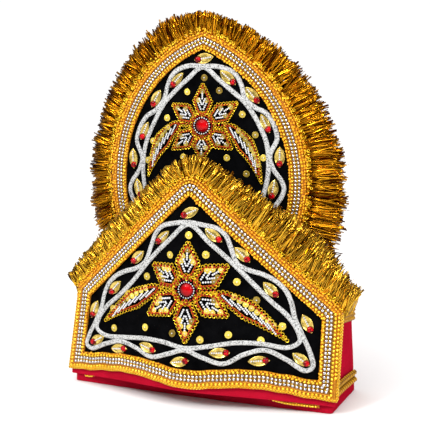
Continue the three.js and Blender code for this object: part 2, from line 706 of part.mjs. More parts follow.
// Gold lace behind the gable's lower edge, showing where it hangs lowest
function hemLace() {
  const shows = [{ x: -97, wide: 16, drop: 2.4 }, { x: -6, wide: 18, drop: 2 }, { x: 92, wide: 26, drop: 3 }];
  const half = 108;
  const tall = 7;
  const plan = (u, v) => {
    const x = mix(-half, half, u);
    const drop = shows.reduce((most, row) => Math.max(most, row.drop * Math.exp(-(((x - row.x) / row.wide) ** 4))), 0.2);
    return { x, z: boardEdgeZ(x) - drop + (v > 0.5 ? tall + drop : 0) };
  };
  return slabOnPanel(GABLE, 20, 1, plan, BOARD_BACK - SEAT - 1, BOARD_BACK - SEAT);
}

// Ring
addPiece('base_ring', ringSolid(), RED_CLOTH);
[['left', -1], ['right', 1]].forEach(([hand, side]) => {
  addPiece(`side_braid_${hand}`, sideBraid(side), GOLD_LACE);
  addPiece(`side_fringe_${hand}`, sideFringe(side, 20), GOLD_TINSEL);
});

// Gable panel
const velvetInset = 4;
const gableBoardPlan = gablePlan(boardEdgeZ, GABLE_HALF_LOW - 1, GABLE_HALF_SHOULDER - 1, -HEADER_WIDE + 1.5);
const gableVelvetPlan = gablePlan(
  (x) => lookUp(LACE_EDGE, x) + velvetInset, GABLE_HALF_LOW - velvetInset, GABLE_HALF_SHOULDER - velvetInset, velvetInset,
);
const gableTrim = gableTrimRings();
addPiece('gable_board', slabOnPanel(GABLE, GABLE_COLUMNS, 1, gableBoardPlan, BOARD_BACK, BOARD_FACE), RED_CLOTH);
addPiece('gable_velvet', slabOnPanel(GABLE, GABLE_COLUMNS, 1, gableVelvetPlan, -VELVET_THICK, 0), VELVET);
addPiece('gable_trim', frameOnPanel(GABLE, gableTrim.outer, gableTrim.inner, TRIM_SEAT, TRIM_TOP), GOLD_LACE);
addPiece('hem_lace', hemLace(), GOLD_LACE);
addPiece('gable_fringe_left', gableFringe(-1, GABLE_FRINGE.left, 3), GOLD_TINSEL);
addPiece('gable_fringe_right', gableFringe(1, GABLE_FRINGE.right, 11), GOLD_TINSEL);
addPiece('gable_vine', fused([
  braidRing(GABLE, GABLE_INNER_BRAID, 32, 0), braidRing(GABLE, GABLE_OUTER_BRAID, 60, CROSS_LIFT),
]), SILVER_BRAID);
addPiece('gable_flower', flowerSolid(GABLE, GABLE_FLOWER, GABLE_PETALS, GABLE_HANGING_LEAF), GOLD_LACE);
addPiece('gable_stone', centreStone(GABLE, GABLE_FLOWER.x, GABLE_FLOWER.z), RED_STONE);
GABLE_LEAVES.forEach((row, i) => {
  addPiece(`gable_leaf_${String(i + 1).padStart(2, '0')}`, leafSolid(GABLE, row), GOLD_LEAF);
});

// Tall panel
const tallTrimStations = Array.from({ length: 29 }, (_, i) => i / 14 - 1);
const tallTrimEdge = (outset) => tallTrimStations.map((t) => ogivePoint(t, outset, TALL_LACE_LOW_Z));
addPiece('tall_board', slabOnPanel(TALL, 8, 8, tallPlan(TALL_BOARD_OUTSET, 0.6), BOARD_BACK, BOARD_FACE), RED_CLOTH);
addPiece('tall_velvet', slabOnPanel(TALL, 8, 8, tallPlan(0, 0.6), -VELVET_THICK, 0), VELVET);
addPiece('tall_trim', bandOnPanel(
  TALL, tallTrimEdge(TALL_VELVET_INSET), tallTrimEdge(TALL_LACE_OUTSET), TRIM_SEAT, TRIM_TOP,
), GOLD_LACE);
addPiece('tall_fringe_left', tallFringe(-1, TALL_FRINGE.left, 29), GOLD_TINSEL);
addPiece('tall_fringe_right', tallFringe(1, TALL_FRINGE.right, 43), GOLD_TINSEL);
addPiece('tall_vine', fused([
  braidArch(TALL, TALL_INNER_BRAID, 26, 0), braidArch(TALL, TALL_OUTER_BRAID, 44, CROSS_LIFT),
]), SILVER_BRAID);
addPiece('tall_flower', flowerSolid(TALL, TALL_FLOWER, TALL_PETALS, TALL_HANGING_LEAF), GOLD_LACE);
addPiece('tall_stone', centreStone(TALL, TALL_FLOWER.x, TALL_FLOWER.z), RED_STONE);
TALL_LEAVES.forEach((row, i) => {
  addPiece(`tall_leaf_${String(i + 1).padStart(2, '0')}`, leafSolid(TALL, row), GOLD_LEAF);
});

// The crown stands on z = 0 with its box centred on the origin
const box = new THREE.Box3().setFromObject(crown);
const middle = box.getCenter(new THREE.Vector3());
crown.children.forEach((mesh) => mesh.geometry.translate(-middle.x, -middle.y, -box.min.z));

export default crown;
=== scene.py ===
"""Dresses the costume crown in red cloth, velvet, beaded lace, tinsel fringe, braid, flowers and stones."""
import math
import bpy
import numpy as np
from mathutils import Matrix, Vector


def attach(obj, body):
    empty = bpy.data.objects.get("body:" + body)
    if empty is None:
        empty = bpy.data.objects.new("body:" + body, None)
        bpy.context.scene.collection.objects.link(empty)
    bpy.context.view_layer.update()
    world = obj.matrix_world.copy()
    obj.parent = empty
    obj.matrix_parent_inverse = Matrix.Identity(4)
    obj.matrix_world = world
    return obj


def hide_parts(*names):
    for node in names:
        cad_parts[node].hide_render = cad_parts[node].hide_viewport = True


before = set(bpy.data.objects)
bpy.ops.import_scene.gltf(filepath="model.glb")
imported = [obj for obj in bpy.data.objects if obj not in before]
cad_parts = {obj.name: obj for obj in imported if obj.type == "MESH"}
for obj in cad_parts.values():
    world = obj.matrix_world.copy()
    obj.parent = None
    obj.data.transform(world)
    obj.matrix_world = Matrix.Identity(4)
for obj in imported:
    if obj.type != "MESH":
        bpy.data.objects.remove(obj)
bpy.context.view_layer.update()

# Sizes in millimetres, as in the part's source; the crown's box is centred on the origin
MM = 0.001
CENTRE_Y = 15.1855
GABLE = {"name": "gable", "foot": -37.3, "lean": 0.101, "bow": 32.0, "half": 120.0, "round": 25.5}
TALL = {"name": "tall", "foot": -2.9, "lean": 0.047, "bow": 12.5, "half": 85.0, "round": 34.0}
VELVET_THICK = 0.8
VELVET_INSET = 4
VELVET_RIPPLE = 0.06
BOARD_FACE = -1.4
BOARD_THICK = 2.4
BOARD_BACK = BOARD_FACE - BOARD_THICK
BOARD_RIPPLE = 0.1
BOARD_STEPS = (60, 48)

# Gable outline: towards the shoulders its left side is drawn in and its right side out
GABLE_HALF_LOW = 121.5
GABLE_HALF_SHOULDER = 118.0
GABLE_SHOULDER_Z = 80.2
GABLE_APEX_Z = 191.7
GABLE_DRAW_FROM_Z = 12.0
GABLE_DRAW_LEFT = 0.958
GABLE_DRAW_RIGHT = 1.04
GABLE_SIDE_BAND = 15.5
GABLE_LOW_BAND = 14.8
GABLE_SLOPE_BAND = 11.0
GABLE_FALL = (GABLE_APEX_Z - GABLE_SHOULDER_Z) / GABLE_HALF_SHOULDER
GABLE_STEEP = math.hypot(1, GABLE_FALL)
GABLE_VELVET_APEX_Z = GABLE_APEX_Z - GABLE_SLOPE_BAND * GABLE_STEEP
HEADER_WIDE = 7.5
LACE_EDGE_X = np.array([0, 10, 24, 43, 61, 79, 100, 121.0])
LACE_EDGE_Z = np.array([19.4, 19.5, 21.2, 22.4, 21.8, 19.2, 15.2, 12.3])
BOARD_EDGE_CORNER = 6.8
BOARD_EDGE_RISE = 8.4
# Points along a row of the gable's lace: half its lower edge, a side, and a slope, closer near the apex
BELOW_POINTS = 61
SIDE_POINTS = 40
SLOPE_POINTS = 81
APEX_CROWDING = 1.4

# Tall panel: an ogive of two arcs
OGIVE_RADIUS = 124.3
OGIVE_CENTRE_X = 46.0
OGIVE_CENTRE_Z = 183.0
TALL_VELVET_INSET = -6.0
TALL_LACE_OUTSET = 4.0
TALL_BOARD_OUTSET = 9.5
TALL_FOOT_Z = 4.0
TALL_WAIST_Z = 118.0
TALL_LACE_LOW_Z = 112.0
TALL_FOOT_SHARE = 0.25
ARCH_POINTS = 161

# Head ring
RING_HALF = 117.0
RING_WALL = 2.2
RING_TOP = 76.0
RING_FRONT_TOP = 68.0
RING_FRONT = -5.5
RING_FRONT_LEAN = 0.047
RING_CORNER_SETBACK = 3.25
RING_CORNER_LEAN = 0.054
RING_REAR = 65.0
RING_REAR_LEAN = -0.2
RING_REAR_BULGE = 3.0
RING_SIDE_SPREAD = 2
RING_DENT = 1.6
RING_HEM_Z = 0.45
RING_HEM_TOP = 10.5
RING_HEM_FADE = 1.5
RING_HEM_THICK = 0.25
RING_ROUND = 640
RING_STEPS = (328, 30)
RING_FRONT_INSET = 1.5
RING_REAR_INSET = 3
RING_SIDE_BACKS = [0.03, 0.3, 0.65, 0.95]
RING_TOP_RISE = 12

# Beadwork: distances from the velvet's edge outwards across the lace, first all round and then
# up the gable's right side
BEAD_ROW = (2.5, 1.5)
CRYSTAL_ROWS = ((5.2, 4.2), (8.3, 7.2))
DOT_ROW = (6.75, 5.7)
OUTER_BEAD_ROW = (11.8, 10.2)
RIGHT_BEAD_ROW = (11.8, 12.8)
EDGE_LOOP_ROW = (14.1, 15.1)
KNOT_ROWS = (0.8, 10.8, 13.0, 15.2)
LACE_PITCH = 3.3
TALL_LACE_PITCH = 0.9 * LACE_PITCH
TALL_BEAD_SIZE = 0.86
LOOP_PITCH = 2.5
VINE_WIDE = 3.3

# The braid was stitched by eye: its right half sits higher than its left
STITCH_SKEW = 4.0
STITCH_SKEW_REACH = 45.0
STITCH_SKEW_LOW_Z = 25.0
STITCH_SKEW_HIGH_Z = 55.0

# Half of each stitched braid, from the middle of the panel outwards, as x and z
GABLE_INNER_BRAID = [
    (0, 153.3), (17.4, 139.3), (35.5, 122.5), (52, 104.5), (67, 89.5), (81, 77), (89, 65), (90.5, 57),
    (82, 52.3), (60, 54.7), (40, 56.2), (20, 54.6), (0, 52),
]
GABLE_OUTER_BRAID = [
    (0, 155), (13, 153.3), (24, 150.4), (30.5, 144.2), (34.5, 134.5), (40.5, 120.3), (50, 114.5),
    (60, 111.2), (70, 106), (78, 98.5), (83, 88), (86, 76), (93.2, 60.5), (99.2, 48), (101.4, 38.7),
    (96, 35.7), (80, 44), (64, 50), (48, 47), (32, 40.5), (14, 45.7), (0, 50.3),
]
TALL_INNER_BRAID = [
    (0, 277.5), (14, 267.3), (25.5, 257.5), (35, 248.5), (44.5, 234), (53, 215.3), (55.2, 201),
    (55, 186.5), (52, 172), (45, 150), (40, 137),
]
TALL_OUTER_BRAID = [
    (0, 278.4), (13, 278.2), (23.3, 274.8), (28.7, 269.8), (32.3, 262), (35.5, 251.5), (44, 243),
    (51.5, 239), (56.6, 233), (60.3, 225.3), (61.8, 217), (56.5, 204), (59, 193.5), (66.5, 182.5),
    (68.3, 175.5), (62.5, 163.6), (51, 152), (43, 140),
]

# Stamped leaves: x, z and the way that the stone end points, in degrees from +X
LEAF_LONG = 17.5
LEAF_WIDE = 8.7
LEAF_OUT = 0.35
LEAF_STONE_AT = 5.2
LEAF_STONE_OUT = 0.9
LEAF_BEADS_AT = 1.6
LEAF_BEAD_PITCH = 1.85
LEAF_BEAD_OUT = 1.65
GABLE_LEAVES = [
    (0, 162.8, -154), (-24, 140.3, -136), (-48.7, 120.5, -137), (-72, 91, -132), (-93.8, 68.6, -112),
    (-90.1, 42.75, -150), (-65.7, 40, 11), (-35.6, 46.8, -12), (-4.4, 40.1, 13), (28.5, 50, 3),
    (59.7, 44.4, 4), (92.2, 46.3, -37), (20.5, 145.5, -36), (43.7, 130.5, -44), (66.7, 102.7, -44),
    (95.7, 75.5, -62),
]
TALL_LEAVES = [
    (0.5, 284.6, -169), (-23.5, 266.2, -134), (-43.3, 249.9, -120), (-54.35, 222.3, -115),
    (-65.3, 198.2, -86), (-59.7, 173, -76), (-60, 148, -64), (21.1, 269.6, -40), (41.2, 256, -49),
    (52.1, 233.5, -63), (64.2, 206.4, -90), (59.5, 179.7, -100), (60, 152, -116),
]
# Leaves pressed between two strands of braid are narrower
TIGHT_LEAVES = {"gable_leaf_02": 0.8, "tall_leaf_02": 0.8, "tall_leaf_04": 0.8, "tall_leaf_10": 0.8}

# Flowers: centre height, start and width of the petals, collar, size of the chain, shine of the sequins,
# petals as turn and reach, sequins of a petal as share of its length and distance from its middle, and
# the long leaf's axis with its width
GABLE_FLOWER = {
    "z": 100, "from": 9, "wide": 20, "collar": 9.5, "chain": 1.0, "shine": 0.55,
    "petals": [(90, 39.5), (151, 36.7), (215, 44), (270, 44), (-30, 40), (33, 40)],
    "sequins": [(0.46, 5.3), (0.46, -5.3), (0.60, 3.9), (0.60, -3.9), (0.77, 0)],
    "leaf": [(23, 99.5), (55, 86), (81, 61.5)], "leaf_wide": 15,
}
TALL_FLOWER = {
    "z": 230, "from": 8, "wide": 16, "collar": 8.8, "chain": 0.78, "shine": 0.1,
    "petals": [(90, 34.5), (149, 32), (218, 34), (270, 28.5), (-35, 31.5), (34, 35.8)],
    "sequins": [(0.48, 4.4), (0.48, -4.4), (0.75, 0)],
    "leaf": [(19, 232), (42, 217), (50, 185)], "leaf_wide": 14,
}
# Outline of a petal or a long leaf: share of its length and of its width
PETAL_ALONG = [0, 0.1, 0.44, 0.75, 1]
PETAL_SHARE = [0, 0.52, 1, 0.47, 0]
# White strings inside a petal of that width, each from one share and distance to another
STRING_PETAL_WIDE = 20
PETAL_STRINGS = [
    ((0.21, 1.5), (0.39, 4.3)), ((0.21, -1.5), (0.39, -4.3)), ((0.36, 0.7), (0.52, 2.9)),
    ((0.36, -0.7), (0.52, -2.9)), ((0.53, 0), (0.69, 0)),
]

# Loose sequins as x, z and tone, from dark brown at 0 to yellow at 1
GABLE_SEQUINS = [
    (0.1, 144.5, 0.9), (-16.3, 126.9, 0.6), (14.9, 129.6, 0.8), (-38.5, 106, 0.5), (40.2, 108.5, 0.8),
    (-58.2, 88.4, 0.5), (-73.7, 72.9, 0.4), (-71.8, 56.5, 0.6), (-38.9, 63.2, 0.9), (-11.9, 62.7, 0.0),
    (12.5, 60, 0.6), (35.1, 65.1, 0.8), (55.9, 93.9, 0.1), (60.6, 61.3, 0.9), (76.7, 73.1, 0.9),
]
TALL_SEQUINS = [
    (1, 269, 0.0), (-14, 257, 0.9), (14, 259, 0.0), (-32.6, 234.6, 0.8), (33.3, 240.3, 0.5),
    (-46.1, 214.5, 0.6), (44.2, 224, 0.2), (-51, 198, 0.5), (51.1, 205.5, 0.7), (-17, 203.3, 0.6),
    (21.2, 204.5, 0.9), (-32.1, 192.1, 0.4), (37.6, 192, 0.2),
]


# Panels and outlines
def unit(ways):
    return ways / np.linalg.norm(ways, axis=-1, keepdims=True)


def paired(x, z):
    return np.stack([x, z], axis=-1)


def left_of(ways):
    return paired(-ways[..., 1], ways[..., 0])


def turned(degrees):
    return np.array([math.cos(math.radians(degrees)), math.sin(math.radians(degrees))])


def smooth_step(t):
    return t * t * (3 - 2 * t)


def on_panel(panel, xz, out):
    """Points on a bowed panel lifted off its face by out, and the face's normals there."""
    x, z, out = np.broadcast_arrays(xz[..., 0], xz[..., 1], np.asarray(out, float))
    reach = np.hypot(x, panel["round"])
    span = math.hypot(panel["half"], panel["round"]) - panel["round"]
    y = panel["foot"] + panel["lean"] * z + panel["bow"] * (reach - panel["round"]) / span - CENTRE_Y
    sideways = panel["bow"] * x / (reach * span)
    normal = unit(np.stack([sideways, -np.ones_like(x), np.full_like(x, panel["lean"])], axis=-1))
    return np.stack([x, y, z], axis=-1) + out[..., None] * normal, normal


def lace_edge(x):
    """Height of the lace's lower edge: a bracket that dips in the middle and at the corners."""
    at = np.clip(np.abs(np.asarray(x, float)), 0, LACE_EDGE_X[-1])
    low = np.clip(np.searchsorted(LACE_EDGE_X, at, side="right") - 1, 0, len(LACE_EDGE_X) - 2)
    share = smooth_step((at - LACE_EDGE_X[low]) / (LACE_EDGE_X[low + 1] - LACE_EDGE_X[low]))
    return LACE_EDGE_Z[low] + (LACE_EDGE_Z[low + 1] - LACE_EDGE_Z[low]) * share


def board_edge(x):
    share = np.clip(np.abs(x) / GABLE_HALF_LOW, 0, 1)
    return BOARD_EDGE_CORNER + BOARD_EDGE_RISE * (1 - share ** 1.6)


def gable_slope(x, drop):
    return GABLE_APEX_Z - GABLE_FALL * np.abs(x) - drop * GABLE_STEEP


def gable_apex_row(x, away):
    """Height of a row on the slopes, away from the velvet's edge: straight, and turned round the apex."""
    straight = gable_slope(x, GABLE_SLOPE_BAND - away)
    if away <= 0:
        return straight
    bend = np.abs(x) < away * GABLE_FALL / GABLE_STEEP
    arc = GABLE_VELVET_APEX_Z + np.sqrt(np.maximum(0, away ** 2 - x ** 2))
    return np.where(bend, arc, straight)


def gable_side(z, away):
    lean = (GABLE_HALF_LOW - GABLE_HALF_SHOULDER) / (GABLE_SHOULDER_Z - LACE_EDGE_Z[-1])
    return GABLE_HALF_LOW - GABLE_SIDE_BAND + away - (z - LACE_EDGE_Z[-1]) * lean


def draw_factor(x, z):
    share = np.clip((z - GABLE_DRAW_FROM_Z) / (GABLE_SHOULDER_Z - GABLE_DRAW_FROM_Z), 0, 1)
    return 1 + (np.where(x < 0, GABLE_DRAW_LEFT, GABLE_DRAW_RIGHT) - 1) * share


def drawn(x, z):
    """Where x of an even gable lies on the made one."""
    return x * draw_factor(x, z)


def gable_corners(away, side_away):
    """Half widths at the lower corner and at the shoulder of a row, and the shoulder's height."""
    low_x = 100.0
    shoulder_z = 75.0
    for _ in range(20):
        low_x = gable_side(float(lace_edge(low_x)) + GABLE_LOW_BAND - away, side_away)
        shoulder_z = float(gable_slope(gable_side(shoulder_z, side_away), GABLE_SLOPE_BAND - away))
    return low_x, gable_side(shoulder_z, side_away), shoulder_z


def gable_row(away, right_away=None):
    """Closed route through the gable's lace, away from the velvet's edge: below, right, slopes, left."""
    left_low, left_shoulder, left_z = gable_corners(away, away)
    right_low, right_shoulder, right_z = gable_corners(away, away if right_away is None else right_away)
    left_below = np.linspace(-left_low, 0, BELOW_POINTS)[:-1]
    below_x = np.concatenate([left_below, np.linspace(0, right_low, BELOW_POINTS)])
    below_z = lace_edge(below_x) + GABLE_LOW_BAND - away
    rise = np.linspace(0, 1, SIDE_POINTS)[1:]
    right_x = right_low + (right_shoulder - right_low) * rise
    up_z = below_z[-1] + (right_z - below_z[-1]) * rise
    towards = np.linspace(1, 0, SLOPE_POINTS)[1:] ** APEX_CROWDING
    slope_x = np.concatenate([right_shoulder * towards, -left_shoulder * np.append(towards[-2::-1], 1)])
    slope_z = gable_apex_row(slope_x, away)
    left_x = -left_shoulder + (left_shoulder - left_low) * rise[:-1]
    down_z = left_z + (below_z[0] - left_z) * rise[:-1]
    x = np.concatenate([below_x, right_x, slope_x, left_x])
    z = np.concatenate([below_z, up_z, slope_z, down_z])
    return paired(drawn(x, z), z)


def ogive_point(t, outset, low_z):
    """Point on the tall panel's arch, t from -1 at the left foot to 1 at the right foot."""
    radius = OGIVE_RADIUS + outset
    low_angle = math.asin((low_z - OGIVE_CENTRE_Z) / radius)
    apex_angle = math.acos(OGIVE_CENTRE_X / radius)
    angle = apex_angle + (low_angle - apex_angle) * np.abs(t)
    x = radius * np.cos(angle) - OGIVE_CENTRE_X
    return paired(np.sign(t) * x, OGIVE_CENTRE_Z + radius * np.sin(angle))


def tall_row(away):
    """Open route through the tall panel's lace, away from the velvet's edge."""
    return ogive_point(np.linspace(-1, 1, ARCH_POINTS), TALL_VELVET_INSET + away, TALL_LACE_LOW_Z)


def ogive_half(z, outset):
    rise = np.maximum(z, TALL_WAIST_Z) - OGIVE_CENTRE_Z
    return np.sqrt(np.maximum(0, (OGIVE_RADIUS + outset) ** 2 - rise ** 2)) - OGIVE_CENTRE_X


def ogive_apex(outset):
    return OGIVE_CENTRE_Z + math.sqrt((OGIVE_RADIUS + outset) ** 2 - OGIVE_CENTRE_X ** 2)


# Routes
def smooth_route(points, closed):
    """Centripetal curve through a table of points."""
    if closed:
        ringed = np.concatenate([points[-1:], points, points[:2]])
    else:
        ringed = np.concatenate([2 * points[:1] - points[1:2], points, 2 * points[-1:] - points[-2:-1]])
    route = []
    for i in range(len(ringed) - 3):
        p = ringed[i:i + 4]
        knots = np.concatenate([[0], np.cumsum(np.sqrt(np.linalg.norm(np.diff(p, axis=0), axis=1)))])
        t = np.linspace(knots[1], knots[2], 12, endpoint=False)[:, None]

        def between(a, b, low, high):
            return (a * (knots[high] - t) + b * (t - knots[low])) / (knots[high] - knots[low])

        first, second, third = (between(p[k], p[k + 1], k, k + 1) for k in range(3))
        route.append(between(between(first, second, 0, 2), between(second, third, 1, 3), 1, 2))
    if not closed:
        route.append(points[-1:])
    return np.concatenate(route)


def read_off(at, runs, table):
    """Rows of a table, read off between its stations."""
    return np.stack([np.interp(at, runs, column) for column in table.T], axis=1)


def spaced(route, pitch, closed, start=0.0):
    """Points at an even pitch along a route, and the way it runs there."""
    ends = np.concatenate([route, route[:1]]) if closed else route
    runs = np.concatenate([[0], np.cumsum(np.linalg.norm(np.diff(ends, axis=0), axis=1))])
    whole = runs[-1]
    count = max(2, int(round(whole / pitch)))
    at = (np.arange(count) + start) * whole / count if closed else np.linspace(0, whole, count + 1)

    def moved_on(step):
        return read_off((at + step) % whole if closed else np.clip(at + step, 0, whole), runs, ends)

    return moved_on(0), unit(moved_on(0.4) - moved_on(-0.4))


def joined(rows):
    """Points and ways of several rows as one row."""
    return tuple(np.concatenate(parts) for parts in zip(*rows))


def level(xz):
    """Row whose shapes all point to the right."""
    return xz, np.tile([1.0, 0.0], (len(xz), 1))


def stitched_braid(half, closed):
    """Whole route of a braid from its half: a ring, or an arch that starts at the left foot."""
    other = [(-x, z) for x, z in half[::-1]]
    points = np.array(half + other[1:-1] if closed else other[:-1] + half, float)
    rise = np.clip((points[:, 1] - STITCH_SKEW_LOW_Z) / (STITCH_SKEW_HIGH_Z - STITCH_SKEW_LOW_Z), 0, 1)
    points[:, 1] += STITCH_SKEW * rise * np.tanh((points[:, 0] / STITCH_SKEW_REACH) ** 3)
    return smooth_route(points, closed)


def beside_axis(axis, share, across):
    """Point at a share of an axis that may bend, given by its start, bend and tip, and off to its left."""
    start, bend, tip = (np.array(point, float) for point in axis)
    at = start * (1 - share) ** 2 + 2 * bend * share * (1 - share) + tip * share ** 2
    along = 2 * (bend - start) * (1 - share) + 2 * (tip - bend) * share
    return at + across * left_of(unit(along))


def petal_route(axis, wide):
    """Kite-like outline, clockwise, round the axis of a petal or a long leaf."""
    share = np.unique(np.concatenate([np.linspace(0, 1, 41), PETAL_ALONG]))
    half = wide / 2 * np.interp(share, PETAL_ALONG, PETAL_SHARE)
    share = np.concatenate([share, share[-2:0:-1]])[:, None]
    half = np.concatenate([half, -half[-2:0:-1]])[:, None]
    return beside_axis(axis, share, half)


def inset_route(route, by):
    """Route inside a closed clockwise one, at that distance from it."""
    points, along = spaced(route, 0.4, True)
    moved = points - by * left_of(along)
    nearest = np.min(np.linalg.norm(moved[:, None] - points[None], axis=2), axis=1)
    return moved[nearest > by - 0.06]


# Modelling helpers
def start_fresh():
    """Leaves edit mode and deselects everything, so that the next operator acts on the new piece alone."""
    if bpy.context.mode != "OBJECT":
        bpy.ops.object.mode_set(mode="OBJECT")
    bpy.ops.object.select_all(action="DESELECT")


def pick_all():
    bpy.ops.object.mode_set(mode="EDIT")
    bpy.ops.mesh.select_all(action="SELECT")


def pick_faces(wanted):
    """Selects the active piece's faces for which wanted(centre, normal) holds, and stays in edit mode."""
    bpy.ops.object.mode_set(mode="OBJECT")
    mesh = bpy.context.active_object.data
    bpy.context.tool_settings.mesh_select_mode = (False, False, True)
    mesh.vertices.foreach_set("select", [False] * len(mesh.vertices))
    mesh.edges.foreach_set("select", [False] * len(mesh.edges))
    mesh.polygons.foreach_set("select", [bool(wanted(p.center, p.normal)) for p in mesh.polygons])
    bpy.ops.object.mode_set(mode="EDIT")


def taken_apart():
    """Points and faces of the active piece, which is then removed."""
    bpy.ops.object.mode_set(mode="OBJECT")
    piece = bpy.context.active_object
    mesh = piece.data
    points = np.array([vertex.co[:] for vertex in mesh.vertices])
    faces = [tuple(polygon.vertices) for polygon in mesh.polygons]
    bpy.data.objects.remove(piece)
    bpy.data.meshes.remove(mesh)
    return points, faces


def pressed(scale):
    """Shape of the active piece, pressed or drawn out about the origin."""
    pick_all()
    bpy.ops.transform.resize(value=scale, center_override=(0, 0, 0))
    return taken_apart()


def round_bead(radius, sides=8, rings=5, long=1.0):
    start_fresh()
    bpy.ops.mesh.primitive_uv_sphere_add(segments=sides, ring_count=rings, radius=radius)
    return pressed((long, 1, 0.9))


def gold_ring(radius, wire, sides):
    start_fresh()
    bpy.ops.mesh.primitive_torus_add(
        major_segments=sides, minor_segments=5, major_radius=radius, minor_radius=wire)
    return pressed((1, 1, 1.25))


def is_top(centre, normal):
    return normal.z > 0.9 and abs(centre.x) + abs(centre.y) < 0.02


def raised(tiers, wanted=is_top):
    """Shape of the active piece, its top face raised by tiers, each a rise and the share of size left."""
    for rise, share in tiers:
        pick_faces(wanted)
        bpy.ops.mesh.extrude_region_move(TRANSFORM_OT_translate={"value": (0, 0, rise)})
        bpy.ops.transform.resize(value=(share, share, 1), center_override=(0, 0, 0))
    return taken_apart()


def tiered_disc(sides, radius, base, tiers):
    start_fresh()
    bpy.ops.mesh.primitive_cylinder_add(vertices=sides, radius=radius, depth=base, location=(0, 0, base / 2))
    return raised(tiers)


def red_stone(radius, high, sides):
    """Round red stone: girdle, four tiers of facets and a small table."""
    tiers = [(0.2 * high, 0.93), (0.27 * high, 0.82), (0.17 * high, 0.63), (0.05 * high, 0.42)]
    return tiered_disc(sides, radius, 0.3 * high, tiers)


def stamped_leaf(length, width):
    """Stamped leaf: a pointed dish with a raised rim and a low ridge down its middle."""
    start_fresh()
    bpy.ops.mesh.primitive_circle_add(vertices=32, radius=1, fill_type="NGON")
    mesh = bpy.context.active_object.data
    for vertex in mesh.vertices:
        angle = math.atan2(vertex.co.y, vertex.co.x)
        vertex.co.x = math.cos(angle) * length / 2
        vertex.co.y = math.copysign(abs(math.sin(angle)) ** 1.7, math.sin(angle)) * width / 2
    pick_all()
    bpy.ops.mesh.normals_make_consistent(inside=False)
    tiers = [(0.6, 1.0), (0.5, 0.95), (0.12, 0.95), (-0.12, 0.94), (-0.55, 0.84), (-0.1, 0.6), (0.3, 0.4)]
    return raised(tiers, lambda centre, normal: len(mesh.polygons) == 1 or is_top(centre, normal))


def finish_piece(piece, slot, node=None, smooth=True, angle=40):
    """Shades a piece, rides it on the crown's one body and hides the node that it stands for; its slot is
    not used.
    """
    start_fresh()
    if smooth:
        bpy.context.view_layer.objects.active = piece
        piece.select_set(True)
        bpy.ops.object.shade_smooth_by_angle(angle=math.radians(angle))
        piece.select_set(False)
    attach(piece, "root")
    if node:
        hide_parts(node)


def face_corners(faces, points_each=0, count=1):
    """Corners and corner counts of the same faces in many copies."""
    corners = np.array([corner for face in faces for corner in face])
    loops = (corners[None, :] + points_each * np.arange(count)[:, None]).ravel()
    return loops, np.tile([len(face) for face in faces], count)


def mesh_piece(name, points, corners, looks, looks_at=None, shades=None):
    """Object at the origin from points in millimetres; shades, one for each copy, vary the tone."""
    loops, totals = corners
    mesh = bpy.data.meshes.new(name)
    mesh.vertices.add(len(points))
    mesh.vertices.foreach_set("co", (points * MM).astype(np.float32).ravel())
    mesh.loops.add(len(loops))
    mesh.loops.foreach_set("vertex_index", loops.astype(np.int32))
    starts = np.concatenate([[0], np.cumsum(totals)[:-1]]).astype(np.int32)
    mesh.polygons.add(len(totals))
    mesh.polygons.foreach_set("loop_start", starts)
    for look in looks:
        mesh.materials.append(look.material)
    if looks_at is not None:
        mesh.polygons.foreach_set("material_index", np.array(looks_at, np.int32))
    mesh.update(calc_edges=True)
    mesh.validate()
    piece = bpy.data.objects.new(name, mesh)
    bpy.context.scene.collection.objects.link(piece)
    if shades is not None:
        values = np.repeat(np.asarray(shades, np.float32), len(points) // len(shades))
        mesh.attributes.new("shade", "FLOAT", "POINT").data.foreach_set("value", values)
    return piece


def strewn(name, shape, panel, row, out, look, slot, node=None, sizes=1.0, tilt=0.0, seed=1, smooth=True,
           shades=None):
    """Copies of a shape on a panel, each with its length along a row and its top away from the panel."""
    xz, along = row
    points, faces = shape
    count = len(xz)
    places, normals = on_panel(panel, xz, out)
    normals = unit(normals + tilt)
    ahead = on_panel(panel, xz + along * 0.1, out)[0] - places
    sideways = unit(ahead - normals * np.sum(ahead * normals, axis=1, keepdims=True))
    axes = np.stack([sideways, np.cross(normals, sideways), normals], axis=2)
    sizes = np.broadcast_to(np.asarray(sizes, float).reshape(-1, 1, 1), (count, 1, 1))
    copies = places[:, None, :] + np.einsum("nij,nkj->nki", axes, points[None] * sizes)
    if shades is None:
        shades = np.random.default_rng(seed).random(count)
    corners = face_corners(faces, len(points), count)
    piece = mesh_piece(name, copies.reshape(-1, 3), corners, [look], shades=shades)
    finish_piece(piece, slot, node, smooth)


def applied(piece, kind, **settings):
    modifier = piece.modifiers.new(kind, kind)
    for setting, value in settings.items():
        setattr(modifier, setting, value)
    bpy.ops.object.modifier_apply(modifier=modifier.name)


